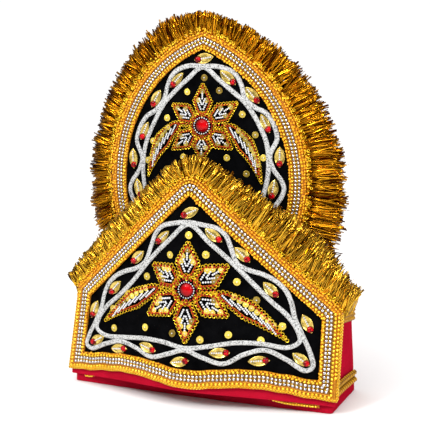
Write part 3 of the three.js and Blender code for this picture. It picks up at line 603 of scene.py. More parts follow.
def strip_piece(name, steps, rows, place, thick, look, slot, node=None, closed=False, bevel=0.0):
    """Cloth or braid strip: a grid laid by place(u, v), thickened behind, its u and v in millimetres."""
    start_fresh()
    bpy.ops.mesh.primitive_grid_add(x_subdivisions=steps, y_subdivisions=rows, size=1)
    piece = bpy.context.active_object
    mesh = piece.data
    piece.name = name
    mesh.name = name
    flat = np.empty(len(mesh.vertices) * 3)
    mesh.vertices.foreach_get("co", flat)
    u, v, _ = np.clip(flat.reshape(-1, 3) + 0.5, 0, 1).T
    points, run = place(u, v)
    mesh.vertices.foreach_set("co", (points * MM).astype(np.float32).ravel())
    corners = np.empty(len(mesh.loops), np.int32)
    mesh.loops.foreach_get("vertex_index", corners)
    mesh.uv_layers[0].data.foreach_set("uv", run[corners].astype(np.float32).ravel())
    mesh.update()
    if closed:
        pick_all()
        bpy.ops.mesh.remove_doubles(threshold=0.02 * MM)
        bpy.ops.object.mode_set(mode="OBJECT")
    applied(piece, "SOLIDIFY", thickness=thick * MM, offset=-1, use_even_offset=False)
    if bevel:
        applied(piece, "BEVEL", width=bevel * MM, segments=2, limit_method="ANGLE",
                angle_limit=math.radians(50))
    mesh.materials.append(look.material)
    finish_piece(piece, slot, node)
    return piece


# Shader nodes, and the groups that several finishes share
def add_node(tree, kind, inputs, **settings):
    """New node with its settings, and each input set to a value or joined to another node's output."""
    node = tree.nodes.new("ShaderNode" + kind)
    for setting, value in settings.items():
        setattr(node, setting, value)
    for socket, value in inputs.items():
        if isinstance(value, bpy.types.NodeSocket):
            tree.links.new(value, node.inputs[socket])
        else:
            node.inputs[socket].default_value = value
    return node


def reckoned(tree, operation, *values):
    return add_node(tree, "Math", dict(enumerate(values)), operation=operation).outputs[0]


def mixed_value(tree, share, first, second):
    return add_node(tree, "Mix", {0: share, 2: first, 3: second}).outputs[0]


def mixed_colour(tree, share, first, second):
    return add_node(tree, "Mix", {0: share, 6: first, 7: second}, data_type="RGBA").outputs[2]


def noise_value(tree, place, scale, detail):
    return add_node(tree, "TexNoise", {"Vector": place, "Scale": scale, "Detail": detail}).outputs["Fac"]


def new_group(name, values, colours, outputs):
    """Shader group that reads a place and takes values and colours."""
    group = bpy.data.node_groups.new(name, "ShaderNodeTree")
    sockets = [("Vector", "INPUT", "Vector")]
    sockets += [(value, "INPUT", "Float") for value in values]
    sockets += [(colour, "INPUT", "Color") for colour in colours]
    sockets += [(output, "OUTPUT", "Color" if output == "Color" else "Float") for output in outputs]
    for socket, way, kind in sockets:
        group.interface.new_socket(name=socket, in_out=way, socket_type="NodeSocket" + kind)
    return group, group.nodes.new("NodeGroupInput").outputs, group.nodes.new("NodeGroupOutput").inputs


def uneven_tone_group():
    """Tone that wanders between two colours in soft patches, shifted copy by copy by the shade."""
    group, given, put_out = new_group(
        "uneven_tone", ("Scale", "Shade", "Shade Share", "Rough Low", "Rough High"), ("Dark", "Light"),
        ("Color", "Roughness"))
    patches = noise_value(group, given["Vector"], given["Scale"], 3.0)
    spread = reckoned(group, "MULTIPLY_ADD", patches, 2.2, -0.6)
    tone = mixed_value(group, given["Shade Share"], spread, given["Shade"])
    share = add_node(group, "Clamp", {0: tone}).outputs[0]
    group.links.new(mixed_colour(group, share, given["Dark"], given["Light"]), put_out["Color"])
    group.links.new(mixed_value(group, share, given["Rough High"], given["Rough Low"]), put_out["Roughness"])
    return group


def thread_group():
    """Height of slanting threads that follow a strip, from its u and v in millimetres."""
    group, given, put_out = new_group("slanting_thread", ("Pitch", "Slant", "Rib"), (), ("Height", "Gap"))
    place = add_node(group, "SeparateXYZ", {0: given["Vector"]}).outputs
    rib = reckoned(group, "DIVIDE", place["Y"], given["Rib"])
    lean = reckoned(group, "MULTIPLY", reckoned(group, "PINGPONG", rib, 1.0), given["Slant"])
    run = reckoned(group, "DIVIDE", place["X"], given["Pitch"])
    turns = reckoned(group, "MULTIPLY", reckoned(group, "ADD", run, lean), 2 * math.pi)
    strand = reckoned(group, "MULTIPLY_ADD", reckoned(group, "SINE", turns), 0.35, 0.65)
    wave = reckoned(group, "SINE", reckoned(group, "MULTIPLY", rib, math.pi))
    crown = reckoned(group, "POWER", reckoned(group, "ABSOLUTE", wave), 0.45)
    height = reckoned(group, "MULTIPLY", strand, crown)
    group.links.new(height, put_out["Height"])
    group.links.new(reckoned(group, "SUBTRACT", 1.0, height), put_out["Gap"])
    return group


def cloth_group():
    """Height of a plain weave and of soft puckers, from object coordinates in metres."""
    group, given, put_out = new_group("plain_weave", ("Thread", "Pucker"), (), ("Height", "Pucker"))
    place = add_node(group, "SeparateXYZ", {0: given["Vector"]}).outputs
    waves = []
    for run in (reckoned(group, "ADD", place["X"], place["Y"]), place["Z"]):
        turns = reckoned(group, "DIVIDE", run, given["Thread"])
        waves.append(reckoned(group, "SINE", reckoned(group, "MULTIPLY", turns, 2 * math.pi)))
    group.links.new(reckoned(group, "MULTIPLY", *waves), put_out["Height"])
    group.links.new(noise_value(group, given["Vector"], given["Pucker"], 2.0), put_out["Pucker"])
    return group


def grain_group():
    """Height of a fine irregular grain."""
    group, given, put_out = new_group("fine_grain", ("Scale",), (), ("Height",))
    group.links.new(noise_value(group, given["Vector"], given["Scale"], 4.0), put_out["Height"])
    return group


def painted_glint_group():
    """Small cells, some pale and some dull: painted glints and painted shade, as on glittering thread and on
    the facets of a cut stone.
    """
    group, given, put_out = new_group(
        "painted_glint_cells", ("Scale", "Dull To", "Pale From"), ("Dull", "Pale"), ("Color", "Height"))
    cells = add_node(group, "TexVoronoi", {"Vector": given["Vector"], "Scale": given["Scale"]})
    chance = add_node(group, "SeparateColor", {0: cells.outputs["Color"]}).outputs
    span = {0: chance[0], 1: given["Dull To"], 2: given["Pale From"]}
    share = add_node(group, "MapRange", span).outputs[0]
    group.links.new(mixed_colour(group, share, given["Dull"], given["Pale"]), put_out["Color"])
    group.links.new(chance[1], put_out["Height"])
    return group


TONE = uneven_tone_group()
THREAD = thread_group()
CLOTH = cloth_group()
GRAIN = grain_group()
PAINTED_GLINTS = painted_glint_group()
GLINT_CELL_RELIEF = 0.12


class Look:
    """One material: its Principled surface and the effects laid over it, with sizes in millimetres."""

    def __init__(self, name, dark, light, patch, rough, shade_share=0.0, **surface):
        self.material = bpy.data.materials.new(name)
        self.material.use_nodes = True
        self.tree = self.material.node_tree
        self.surface = self.tree.nodes["Principled BSDF"].inputs
        self.place = add_node(self.tree, "TexCoord", {}).outputs
        values = {"Scale": 1 / (patch * MM), "Dark": (*dark, 1), "Light": (*light, 1), "Rough Low": rough[0],
                  "Rough High": rough[1], "Shade Share": shade_share}
        if shade_share:
            values["Shade"] = add_node(self.tree, "Attribute", {}, attribute_name="shade").outputs["Fac"]
        tone = self.effect(TONE, values)
        self.tree.links.new(tone["Color"], self.surface["Base Color"])
        self.tree.links.new(tone["Roughness"], self.surface["Roughness"])
        for socket, value in surface.items():
            self.surface[socket.replace("_", " ")].default_value = value

    def effect(self, group, values, place="Object"):
        """Lays a shader group with its own values over the surface and returns what it puts out."""
        inputs = {"Vector": self.place[place], **values}
        return add_node(self.tree, "Group", inputs, node_tree=group).outputs

    def bump(self, height, depth):
        """Adds relief of that depth on top of any relief already there."""
        inputs = {"Strength": 1.0, "Distance": depth * MM, "Height": height}
        for before in self.surface["Normal"].links:
            inputs["Normal"] = before.from_socket
        relief = add_node(self.tree, "Bump", inputs).outputs["Normal"]
        self.tree.links.new(relief, self.surface["Normal"])
        return self

    def tinted(self, share, tone):
        """Mixes another tone over the colour so far."""
        so_far = self.surface["Base Color"].links[0].from_socket
        self.tree.links.new(mixed_colour(self.tree, share, so_far, (*tone, 1)), self.surface["Base Color"])
        return self

    def grain(self, size, depth):
        return self.bump(self.effect(GRAIN, {"Scale": 1 / (size * MM)})["Height"], depth)

    def threads(self, pitch, slant, rib, depth, gap_shade_tone=None):
        """Slanting threads along a strip, with painted shade in the gaps between them."""
        thread = self.effect(THREAD, {"Pitch": pitch, "Slant": slant, "Rib": rib}, "UV")
        if gap_shade_tone:
            self.tinted(thread["Gap"], gap_shade_tone)
        return self.bump(thread["Height"], depth)

    def painted_rim_shade(self, tone, reach):
        """Paints a tone where the surface turns away from the view, as painted shade and painted reflection
        at the rim of a cut stone.
        """
        return self.tinted(add_node(self.tree, "LayerWeight", {"Blend": reach}).outputs["Facing"], tone)

    def weave(self, thread, depth, pucker, pucker_depth):
        cloth = self.effect(CLOTH, {"Thread": thread * MM, "Pucker": 1 / (pucker * MM)})
        return self.bump(cloth["Pucker"], pucker_depth).bump(cloth["Height"], depth)

    # Painted glints and painted shade: pale and dull cells laid over the colour, with a little relief.
    def painted_glints(self, size, pale, dull, dull_to, pale_from):
        cells = self.effect(PAINTED_GLINTS, {"Scale": 1 / (size * MM), "Dull": (*dull, 1), "Pale": (*pale, 1),
                                      "Dull To": dull_to, "Pale From": pale_from})
        self.tree.links.new(cells["Color"], self.surface["Base Color"])
        return self.bump(cells["Height"], GLINT_CELL_RELIEF)


# Finishes: darkest and lightest tone, size of the patches, least and most roughness, and the share of the
# tone that each copy has for itself
red_cloth = Look("red_cloth", (0.37, 0.005, 0.019), (0.47, 0.007, 0.028), 22, (0.8, 0.95),
                 Specular_IOR_Level=0.0)
red_cloth.weave(0.55, 0.05, 14, 0.5).grain(1.2, 0.06)
black_velvet = Look("black_velvet", (0.0012, 0.0012, 0.0014), (0.0035, 0.0035, 0.004), 9, (0.9, 1.0),
                    Specular_IOR_Level=0.0)
black_velvet.grain(0.5, 0.15).grain(6, 0.3)
# Gold thread, with its last colour as painted shade in the gaps between threads.
gold_thread = Look("gold_thread", (0.70, 0.26, 0.002), (1.0, 0.46, 0.008), 3.5, (0.3, 0.5), Metallic=0.15)
gold_thread.threads(1.3, 0.8, 1.25, 0.6, (0.34, 0.09, 0.001))
# Brown thread of the bed under the crystals, dark as painted shade between them.
shade_brown_thread = Look("shade_brown_thread", (0.18, 0.075, 0.005), (0.40, 0.18, 0.012), 2, (0.5, 0.7),
                    Specular_IOR_Level=0.2)
shade_brown_thread.threads(1.1, 0.8, 1.25, 0.4)
# Gold cord, with its last colour as painted shade in the deep gaps between threads.
gold_cord = Look("gold_cord", (0.66, 0.29, 0.003), (0.95, 0.50, 0.01), 2, (0.4, 0.6),
                 Specular_IOR_Level=0.1)
gold_cord.threads(5.0, 0.5, 5.3, 1.5, (0.10, 0.03, 0.001))
knot_gold = Look("knot_gold", (0.80, 0.27, 0.001), (1.0, 0.60, 0.015), 2, (0.25, 0.45), 0.75, Metallic=0.3)
knot_gold.grain(0.6, 0.06)
gold_bead = Look("gold_bead", (0.85, 0.44, 0.006), (1.0, 0.74, 0.07), 2, (0.12, 0.26), 0.6, Metallic=0.75)
gold_bead.grain(0.8, 0.03)
# The crystals' rims are painted gold-brown where they turn away: painted reflection of the gold lace round
# them, with painted shade.
crystal_look = Look("white_crystal", (0.40, 0.42, 0.46), (0.88, 0.90, 0.94), 2.5, (0.04, 0.12), 0.4,
                    Metallic=0.9, IOR=1.7)
crystal_look.grain(2.2, 0.02).painted_rim_shade((0.28, 0.15, 0.03), 0.4)
tinsel = Look("gold_tinsel", (0.08, 0.014, 0.0002), (1.0, 0.58, 0.045), 5, (0.08, 0.30), 0.92, Metallic=1.0)
# The tall panel's tinsel is painted browner: painted shade of the same gold tinsel.
shaded_brown_tinsel = Look("shaded_brown_tinsel", (0.08, 0.012, 0.0002), (1.0, 0.45, 0.015), 5, (0.08, 0.30), 0.92,
                    Metallic=1.0)
for strand_look in (tinsel, shaded_brown_tinsel):
    strand_look.grain(2.0, 0.06)
chain_gold = Look("chain_gold", (0.66, 0.36, 0.004), (1.0, 0.70, 0.03), 2, (0.2, 0.36), 0.5, Metallic=0.7)
chain_gold.grain(0.6, 0.04)
orange_thread = Look("orange_thread", (0.72, 0.10, 0.003), (0.95, 0.26, 0.005), 2.2, (0.5, 0.65), 0.6,
                     Specular_IOR_Level=0.2)
orange_thread.grain(0.4, 0.05)
red_thread = Look("red_thread", (0.16, 0.0, 0.001), (0.42, 0.004, 0.003), 2.2, (0.3, 0.5), 0.6,
                  Specular_IOR_Level=0.2)
red_thread.grain(0.4, 0.06)
seed_bead = Look("white_seed_bead", (0.56, 0.56, 0.58), (0.80, 0.80, 0.80), 2, (0.1, 0.25), 0.5,
                 Coat_Weight=0.4, Coat_Roughness=0.06)
seed_bead.grain(0.7, 0.01)
sequin_look = Look("yellow_sequin", (0.18, 0.11, 0.006), (0.98, 0.74, 0.11), 3, (0.2, 0.34), 0.9,
                   Metallic=0.45)
sequin_look.grain(1.5, 0.04)
leaf_gold = Look("leaf_gold", (0.48, 0.32, 0.045), (0.84, 0.64, 0.18), 3, (0.16, 0.3), Metallic=0.9)
leaf_gold.grain(0.7, 0.05).grain(4, 0.15)
# The centre stone's rim is painted near black red: painted shade where the dome turns away.
ruby = Look("red_stone", (0.36, 0.0, 0.002), (0.66, 0.001, 0.004), 4, (0.05, 0.1), Specular_IOR_Level=0.16)
ruby.grain(3, 0.02).painted_rim_shade((0.03, 0.0, 0.0003), 0.8)
# The small cut stones have painted facet highlights and painted shade in cells, and a rim painted dark as
# painted shade.
cut_ruby = Look("cut_red_stone", (0.26, 0.0, 0.0015), (0.48, 0.0, 0.003), 4, (0.05, 0.1),
                Specular_IOR_Level=0.2)
cut_ruby.painted_glints(1.9, (0.62, 0.002, 0.006), (0.13, 0.0, 0.002), 0.2, 0.75)
cut_ruby.painted_rim_shade((0.035, 0.0, 0.0003), 0.6)
# The silver braid's pale cells are painted glints and its dull cells painted shade in small specks.
silver_braid = Look("silver_braid", (0.6, 0.6, 0.6), (0.9, 0.9, 0.9), 2, (0.4, 0.6), Metallic=0.1,
                    Specular_IOR_Level=0.3)
silver_braid.threads(1.3, 0.7, 1.1, 0.25)
silver_braid.painted_glints(0.7, (0.59, 0.59, 0.58), (0.16, 0.16, 0.155), 0.14, 0.4)


# Red cloth over card: the head ring and the two boards
def ring_stations():
    """Stations round the head ring, as x and the share of the way from front to rear, in small steps."""
    front_half = RING_HALF - RING_FRONT_INSET
    rear_half = RING_HALF - RING_REAR_INSET
    stations = [(x, 0.0) for x in np.linspace(-front_half, front_half, 13)]
    stations += [(RING_HALF + RING_SIDE_SPREAD * back, back) for back in RING_SIDE_BACKS]
    stations += [(x, 1.0) for x in np.linspace(rear_half, -rear_half, 15)]
    stations += [(-RING_HALF - RING_SIDE_SPREAD * back, back) for back in reversed(RING_SIDE_BACKS)]
    table = np.array(stations + stations[:1])
    at = np.linspace(0, len(stations), 8 * len(stations) + 1)
    return read_off(at, np.arange(len(table)), table)


def ring_point(x, back, z):
    across = x / RING_HALF
    corner = RING_CORNER_SETBACK + RING_CORNER_LEAN * z
    front = RING_FRONT + RING_FRONT_LEAN * z + corner * across ** 2
    fold = RING_DENT * np.sin(5 * across + 0.6) * (z / RING_TOP)
    rear = RING_REAR + RING_REAR_LEAN * z + RING_REAR_BULGE * (1 - across ** 2) + fold
    on_side = (back > 0) & (back < 1)
    dent = np.where(on_side, RING_DENT * np.sin(math.pi * back) * np.sin(math.pi * z / RING_TOP), 0)
    y = front + (rear - front) * back - CENTRE_Y
    return np.stack([x - np.sign(x) * dent, y, z], axis=-1)


def side_wall(side, back, z, out):
    """Points on a side wall of the ring, moved outwards."""
    points = ring_point(side * (RING_HALF + RING_SIDE_SPREAD * back), back, np.minimum(z, RING_TOP))
    points[:, 0] += side * out
    points[:, 2] = z
    return points


def ring_place(u, v):
    """Cloth on the ring: a turned hem below, soft puckers above it."""
    stations = ring_stations()
    steps = np.arange(len(stations))
    at = u * steps[-1]
    x, back = read_off(at, steps, stations).T
    top = RING_FRONT_TOP + (RING_TOP - RING_FRONT_TOP) * np.clip(back * RING_TOP_RISE, 0, 1)
    z = RING_HEM_Z + v * (top - RING_HEM_Z)
    points = ring_point(x, back, z)
    along = ring_point(*read_off((at + 1) % steps[-1], steps, stations).T, z) - points
    outward = unit(np.stack([along[:, 1], -along[:, 0], np.zeros(len(z))], axis=1))
    run = u * RING_ROUND
    hem = RING_HEM_THICK * smooth_step(np.clip((RING_HEM_TOP - z) / RING_HEM_FADE, 0, 1))
    long_pucker = 0.22 * np.sin(run * 0.11 + 0.05 * z) * np.sin(z * 0.06)
    short_pucker = 0.12 * np.sin(run * 0.37 + z * 0.09)
    lift = hem + long_pucker + short_pucker - RING_HEM_THICK
    return points + outward * lift[:, None], paired(run, z)


strip_piece("ring_cloth", *RING_STEPS, ring_place, RING_WALL - 0.4, red_cloth, "red_cloth", "base_ring",
            closed=True, bevel=0.5)


def gable_plan(low_z, half_low, half_top, drop):
    """Lays a gable over u and v from its lower edge to its two slopes."""
    def plan(u, v):
        side = 2 * u - 1
        low_x = side * half_low
        top_x = side * half_top
        x = low_x + (top_x - low_x) * v
        z = low_z(low_x) + (gable_slope(top_x, drop) - low_z(low_x)) * v
        return drawn(x, z), z
    return plan


def tall_plan(outset):
    """Lays the tall panel over u and v from its straight foot to its point."""
    def plan(u, v):
        rise = np.clip((v - TALL_FOOT_SHARE) / (1 - TALL_FOOT_SHARE), 0, 1)
        top = ogive_apex(outset) - 0.6
        foot_z = TALL_FOOT_Z + (TALL_WAIST_Z - TALL_FOOT_Z) * v / TALL_FOOT_SHARE
        arch_z = TALL_WAIST_Z + (top - TALL_WAIST_Z) * (1 - (1 - rise) ** 1.35)
        z = np.where(v < TALL_FOOT_SHARE, foot_z, arch_z)
        return (2 * u - 1) * ogive_half(z, outset), z
    return plan


def faced_board(name, node, panel, plan, out, thick, look, slot, ripple, bevel=0.0):
    """Card or cloth sheet on a panel, with a slight ripple in its face."""
    def place(u, v):
        x, z = plan(u, v)
        wave = ripple * np.sin(x * 0.13 + z * 0.05) * np.sin(z * 0.08 - x * 0.03)
        return on_panel(panel, paired(x, z), out + wave)[0], paired(x, z)
    return strip_piece(name, *BOARD_STEPS, place, thick, look, slot, node, bevel=bevel)


gable_board_plan = gable_plan(board_edge, GABLE_HALF_LOW - 1, GABLE_HALF_SHOULDER - 1, -HEADER_WIDE + 1.5)
for panel, plan in ((GABLE, gable_board_plan), (TALL, tall_plan(TALL_BOARD_OUTSET))):
    faced_board(panel["name"] + "_cloth", panel["name"] + "_board", panel, plan, BOARD_FACE, BOARD_THICK,
                red_cloth, "red_cloth", BOARD_RIPPLE, bevel=0.6)

# Velvet facings, stretched over the boards, with the flat size of each
gable_velvet_plan = gable_plan(lambda x: lace_edge(x) + VELVET_INSET, GABLE_HALF_LOW - VELVET_INSET,
                               GABLE_HALF_SHOULDER - VELVET_INSET, VELVET_INSET)
for panel, plan, flat in ((GABLE, gable_velvet_plan, (0.247, 0.172)), (TALL, tall_plan(0), (0.158, 0.300))):
    node = panel["name"] + "_velvet"
    velvet = faced_board(node + "_cloth", node, panel, plan, 0, VELVET_THICK, black_velvet, "black_velvet",
                         VELVET_RIPPLE)


# Beaded lace: heights across the band, from the velvet outwards
LACE_RELIEF = [
    (0.0, 0.7), (0.2, 1.5), (0.5, 1.7), (0.8, 1.5), (1.0, 1.1), (3.4, 1.1), (3.6, 1.3), (3.8, 1.1),
    (9.6, 1.1), (9.9, 1.9), (11.2, 2.0), (11.5, 1.5), (11.9, 1.5), (12.2, 2.0), (13.4, 2.0), (13.7, 1.5),
    (14.1, 1.5), (14.4, 1.9), (15.2, 1.8), (15.6, 0.8),
]
# Brown bed under the crystals; its dark tone is painted shade between them.
SHADED_BEAD_BED = [(3.85, 1.15), (4.0, 1.35), (9.5, 1.35), (9.7, 1.15)]
GABLE_LACE_STEPS = 500
TALL_LACE_STEPS = 320
BEAD_OUT = 1.85
CRYSTAL_OUT = 1.2
DOT_OUT = 1.7
OUTER_BEAD_OUT = 2.2
EDGE_LOOP_OUT = 1.9


def lace_ground(label, panel, route_of, steps, closed, relief, look):
    """Woven band of the lace, with corded edges and troughs; a closed route is laid from outside inwards."""
    aways, outs = np.array(relief[::-1] if closed else relief).T
    routes = np.stack([route_of(away) for away in aways])
    spots = routes.shape[1]
    length = np.sum(np.linalg.norm(np.diff(routes[0], axis=0), axis=1))

    def place(u, v):
        row = np.rint(v * (len(relief) - 1)).astype(int)
        at = u * (spots if closed else spots - 1)
        low = np.floor(at).astype(int)
        share = (at - low)[:, None]
        xz = routes[row, low % spots] * (1 - share) + routes[row, (low + 1) % spots] * share
        return on_panel(panel, xz, outs[row])[0], paired(u * length, aways[row])

    strip_piece(panel["name"] + label, steps, len(relief) - 1, place, 0.5, look, "gold_lace",
                panel["name"] + "_trim", closed=closed)


for label, relief, look in (("_lace", LACE_RELIEF, gold_thread), ("_shaded_bead_bed", SHADED_BEAD_BED, shade_brown_thread)):
    lace_ground(label, GABLE, gable_row, GABLE_LACE_STEPS, True, relief, look)
    lace_ground(label, TALL, tall_row, TALL_LACE_STEPS, False, relief, look)

bead_shape = round_bead(1.3)
dot_shape = round_bead(0.75, 6, 4)
knot_shape = round_bead(0.9, 6, 4, long=1.2)
# Eight sides, two tiers of facets and a table
crystal_shape = tiered_disc(8, 1.5, 0.5, [(0.75, 0.78), (0.45, 0.62)])
loop_shape = gold_ring(1.05, 0.4, 9)


def off_slopes(xz, away):
    """The points of a gable row that lie below or beside the velvet, not along the fringed slopes."""
    even_x = xz[:, 0] / draw_factor(xz[:, 0], xz[:, 1])
    return gable_apex_row(even_x, away) - xz[:, 1] > 1.5


def up_right_side(xz, away):
    """The points of a gable row on its right side only, above the corner."""
    return off_slopes(xz, away) & (xz[:, 0] > 108) & (xz[:, 1] > 30)


def bead_rows(panel, route_of, closed, pitch, size):
    """Gold beads, crystals and the dots between them, row by row."""
    name = panel["name"]
    beads = spaced(route_of(BEAD_ROW), pitch, closed)
    strewn(name + "_bead_row", bead_shape, panel, beads, BEAD_OUT, gold_bead, "gold_lace",
           sizes=size, seed=3)
    crystals = joined([spaced(route_of(row), pitch, closed) for row in CRYSTAL_ROWS])
    tilt = np.random.default_rng(5).normal(0, 0.1, (len(crystals[0]), 3))
    strewn(name + "_crystals", crystal_shape, panel, crystals, CRYSTAL_OUT, crystal_look, "gold_lace",
           sizes=size, tilt=tilt, seed=5, smooth=False)
    dots = spaced(route_of(DOT_ROW), pitch, closed, start=0.5)
    strewn(name + "_dots", dot_shape, panel, dots, DOT_OUT, gold_bead, "gold_lace", seed=7)


bead_rows(GABLE, lambda row: gable_row(*row), True, LACE_PITCH, 1.0)
bead_rows(TALL, lambda row: tall_row(row[0]), False, TALL_LACE_PITCH, TALL_BEAD_SIZE)

for name, row, shape, pitch, out, keep_where in (
        ("gable_outer_beads", OUTER_BEAD_ROW, bead_shape, LACE_PITCH, OUTER_BEAD_OUT, off_slopes),
        ("gable_right_beads", RIGHT_BEAD_ROW, bead_shape, LACE_PITCH, OUTER_BEAD_OUT, up_right_side),
        ("gable_edge_loops", EDGE_LOOP_ROW, loop_shape, LOOP_PITCH, EDGE_LOOP_OUT, off_slopes)):
    xz, along = spaced(gable_row(*row), pitch, True)
    keep = keep_where(xz, row[0])
    strewn(name, shape, GABLE, (xz[keep], along[keep]), out, gold_bead, "gold_lace", seed=9)


def knot_rows(panel, route_of, closed, seed):
    """Uneven knots of gold thread: one row along the velvet, three along the edges that carry fringe."""
    random = np.random.default_rng(seed)
    rows = []
    for away in KNOT_ROWS:
        xz, along = spaced(route_of(away), LOOP_PITCH, closed)
        fringed = ~off_slopes(xz, away) if closed and away > KNOT_ROWS[0] else slice(None)
        rows.append((xz[fringed], along[fringed]))
    xz, along = joined(rows)
    xz = xz + random.normal(0, 0.3, xz.shape)
    out = 2.2 + 0.5 * random.random(len(xz))
    tilt = random.normal(0, 0.3, (len(xz), 3))
    sizes = 0.75 + 0.5 * random.random(len(xz))
    strewn(panel["name"] + "_knots", knot_shape, panel, (xz, along), out, knot_gold, "gold_lace",
           sizes=sizes, tilt=tilt, seed=seed)


knot_rows(GABLE, gable_row, True, 61)
knot_rows(TALL, tall_row, False, 63)


# Tinsel fringe
STRANDS_PER_TUFT = 5
STRAND_WIDE = 1.8
STRAND_THICK = 0.25
STRAND_RINGS = (0, 0.35, 0.7, 1.0)
REACH_AT = (0, 0.12, 0.35, 0.65, 1)
ROOT_DEPTH = 4.5
HEADER_LOOP_PITCH = 2.9
HEADER_LOOP_ROWS = (5.6, 7.4)
SIDE_FRINGE_TUFTS = 90
SIDE_FRINGE_LONG = 20


def fringe_piece(name, node, centres, tones, seed, look):
    """Fringe of thin closed strips with a flat three sided section, from their centre lines and tones."""
    random = np.random.default_rng(seed)
    count, rings, _ = centres.shape
    ahead = unit(centres[:, -1] - centres[:, 0])
    sideways = unit(np.cross(ahead, random.normal(size=(count, 3))))
    outward = np.cross(sideways, ahead)
    wide = STRAND_WIDE * (0.65 + 0.7 * random.random(count))
    taper = np.linspace(1, 0.7, rings)[None, :, None]
    half = sideways[:, None, :] * wide[:, None, None] / 2 * taper
    lift = outward[:, None, :] * STRAND_THICK * taper
    points = np.stack([centres - half, centres + half, centres + lift], axis=2)
    last = 3 * (rings - 1)
    faces = []
    for low in range(0, last, 3):
        for corner, following in ((0, 1), (1, 2), (2, 0)):
            faces.append((low + corner, low + following, low + 3 + following, low + 3 + corner))
    faces += [(2, 1, 0), (last, last + 1, last + 2)]
    corners = face_corners(faces, 3 * rings, count)
    piece = mesh_piece(name, points.reshape(-1, 3), corners, [look], shades=tones)
    finish_piece(piece, "gold_tinsel", node, smooth=False)


def strand_tones_and_depth_shade(random, tuft_layer, of_tuft):
    """Strands on top painted bright and those in the depth painted brown as painted shade, each tuft with
    its own tone as well.
    """
    tuft_tone = np.where(tuft_layer > 0.5, 0.7, 0.08) + random.normal(0, 0.14, len(tuft_layer))
    return np.clip(tuft_tone[of_tuft] + random.normal(0, 0.32, len(of_tuft)), 0, 1)


def panel_fringe(node, panel, header_at, reach, tufts, seed, tone):
    """Tufts that leave the header: header_at(t) gives their start and the two ways, out and combed."""
    random = np.random.default_rng(seed)
    of_tuft = np.repeat(np.arange(tufts), STRANDS_PER_TUFT)
    count = len(of_tuft)
    tuft_layer = random.random(tufts)
    tuft_turn = random.normal(0, 0.12, tufts)
    tuft_reach = 0.97 + random.normal(0, 0.07, tufts)
    tuft_lift = random.normal(0.03, 0.06, tufts)
    t = (np.arange(tufts) + random.random(tufts))[of_tuft] / tufts + random.normal(0, 0.45 / tufts, count)
    t = np.clip(t, 0, 1)
    start, out_way, comb_way = header_at(t)
    turn = (tuft_turn[of_tuft] + random.normal(0, 0.06, count))[:, None]
    way = comb_way * np.cos(turn) + left_of(comb_way) * np.sin(turn)
    sunk = ROOT_DEPTH * random.random(count)
    base = start + out_way * (HEADER_WIDE + 0.5 - sunk)[:, None]
    length = np.interp(t, REACH_AT, reach) * tuft_reach[of_tuft] * (0.8 + 0.34 * random.random(count)) + sunk
    layer = tuft_layer[of_tuft]
    low = -1.0 + 3.6 * layer + 0.5 * random.random(count)
    tip = low + length * (tuft_lift[of_tuft] + random.normal(0, 0.03, count)) + 1.2 * layer
    bend = random.normal(0, 0.05, tufts)[of_tuft] + random.normal(0, 0.03, count)
    rings = []
    for share in STRAND_RINGS:
        sway = bend * length * share ** 2
        xz = base + way * (length * share)[:, None] + left_of(way) * sway[:, None]
        out = low + (tip - low) * share + 0.8 * math.sin(math.pi * share)
        rings.append(on_panel(panel, xz, out)[0])
    # The tone offset darkens a whole fringe as painted shade.
    tones = strand_tones_and_depth_shade(random, tuft_layer, of_tuft) + tone
    look = shaded_brown_tinsel if panel is TALL else tinsel
    fringe_piece(node.replace("fringe", "tinsel"), node, np.stack(rings, axis=1), tones, seed + 1, look)


def combed(way, share):
    share = share[:, None]
    return unit(way * (1 - share) + np.array([0, 1]) * share)


def gable_header(side, comb):
    def header_at(t):
        x = side * (-2.0 + (GABLE_HALF_SHOULDER + 1.0) * t)
        away = GABLE_SLOPE_BAND + 0.3
        z = gable_apex_row(x, away)
        bend = away * GABLE_FALL / GABLE_STEEP
        across = np.clip(x, -bend, bend)
        way = unit(paired(across, np.sqrt(away ** 2 - across ** 2)))
        return paired(drawn(x, z), z), way, combed(way, comb * t ** 2)
    return header_at


def tall_header(side, comb):
    def header_at(t):
        at = ogive_point(side * (0.002 + 0.998 * t), TALL_LACE_OUTSET + 0.3, TALL_WAIST_Z)
        way = unit(paired(np.abs(at[:, 0]) + OGIVE_CENTRE_X, at[:, 1] - OGIVE_CENTRE_Z))
        upright = 1.25 * (1 - t) ** 12
        rise = way[:, 1] + (1 - way[:, 1]) * np.minimum(upright, 1)
        way = unit(paired(side * way[:, 0] * (1 - upright), rise))
        return at, way, combed(way, comb * t ** 4)
    return header_at


def header_loops(node, panel, header_at, length, seed):
    """Small gold loops of the header, in two uneven rows at the foot of the strands."""
    random = np.random.default_rng(seed)
    count = int(length / HEADER_LOOP_PITCH)
    rows = []
    for away in HEADER_LOOP_ROWS:
        t = (np.arange(count) + 0.5 + 0.5 * random.random(count)) / (count + 0.5)
        start, out_way, _ = header_at(t)
        rows.append((start + out_way * (away + random.normal(0, 0.35, count))[:, None], -left_of(out_way)))
    row = joined(rows)
    tilt = random.normal(0, 0.3, (len(row[0]), 3))
    out = 2.6 + random.normal(0, 0.3, len(row[0]))
    strewn(node.replace("fringe", "header"), loop_shape, panel, row, out, chain_gold, "gold_tinsel",
           tilt=tilt, seed=seed)


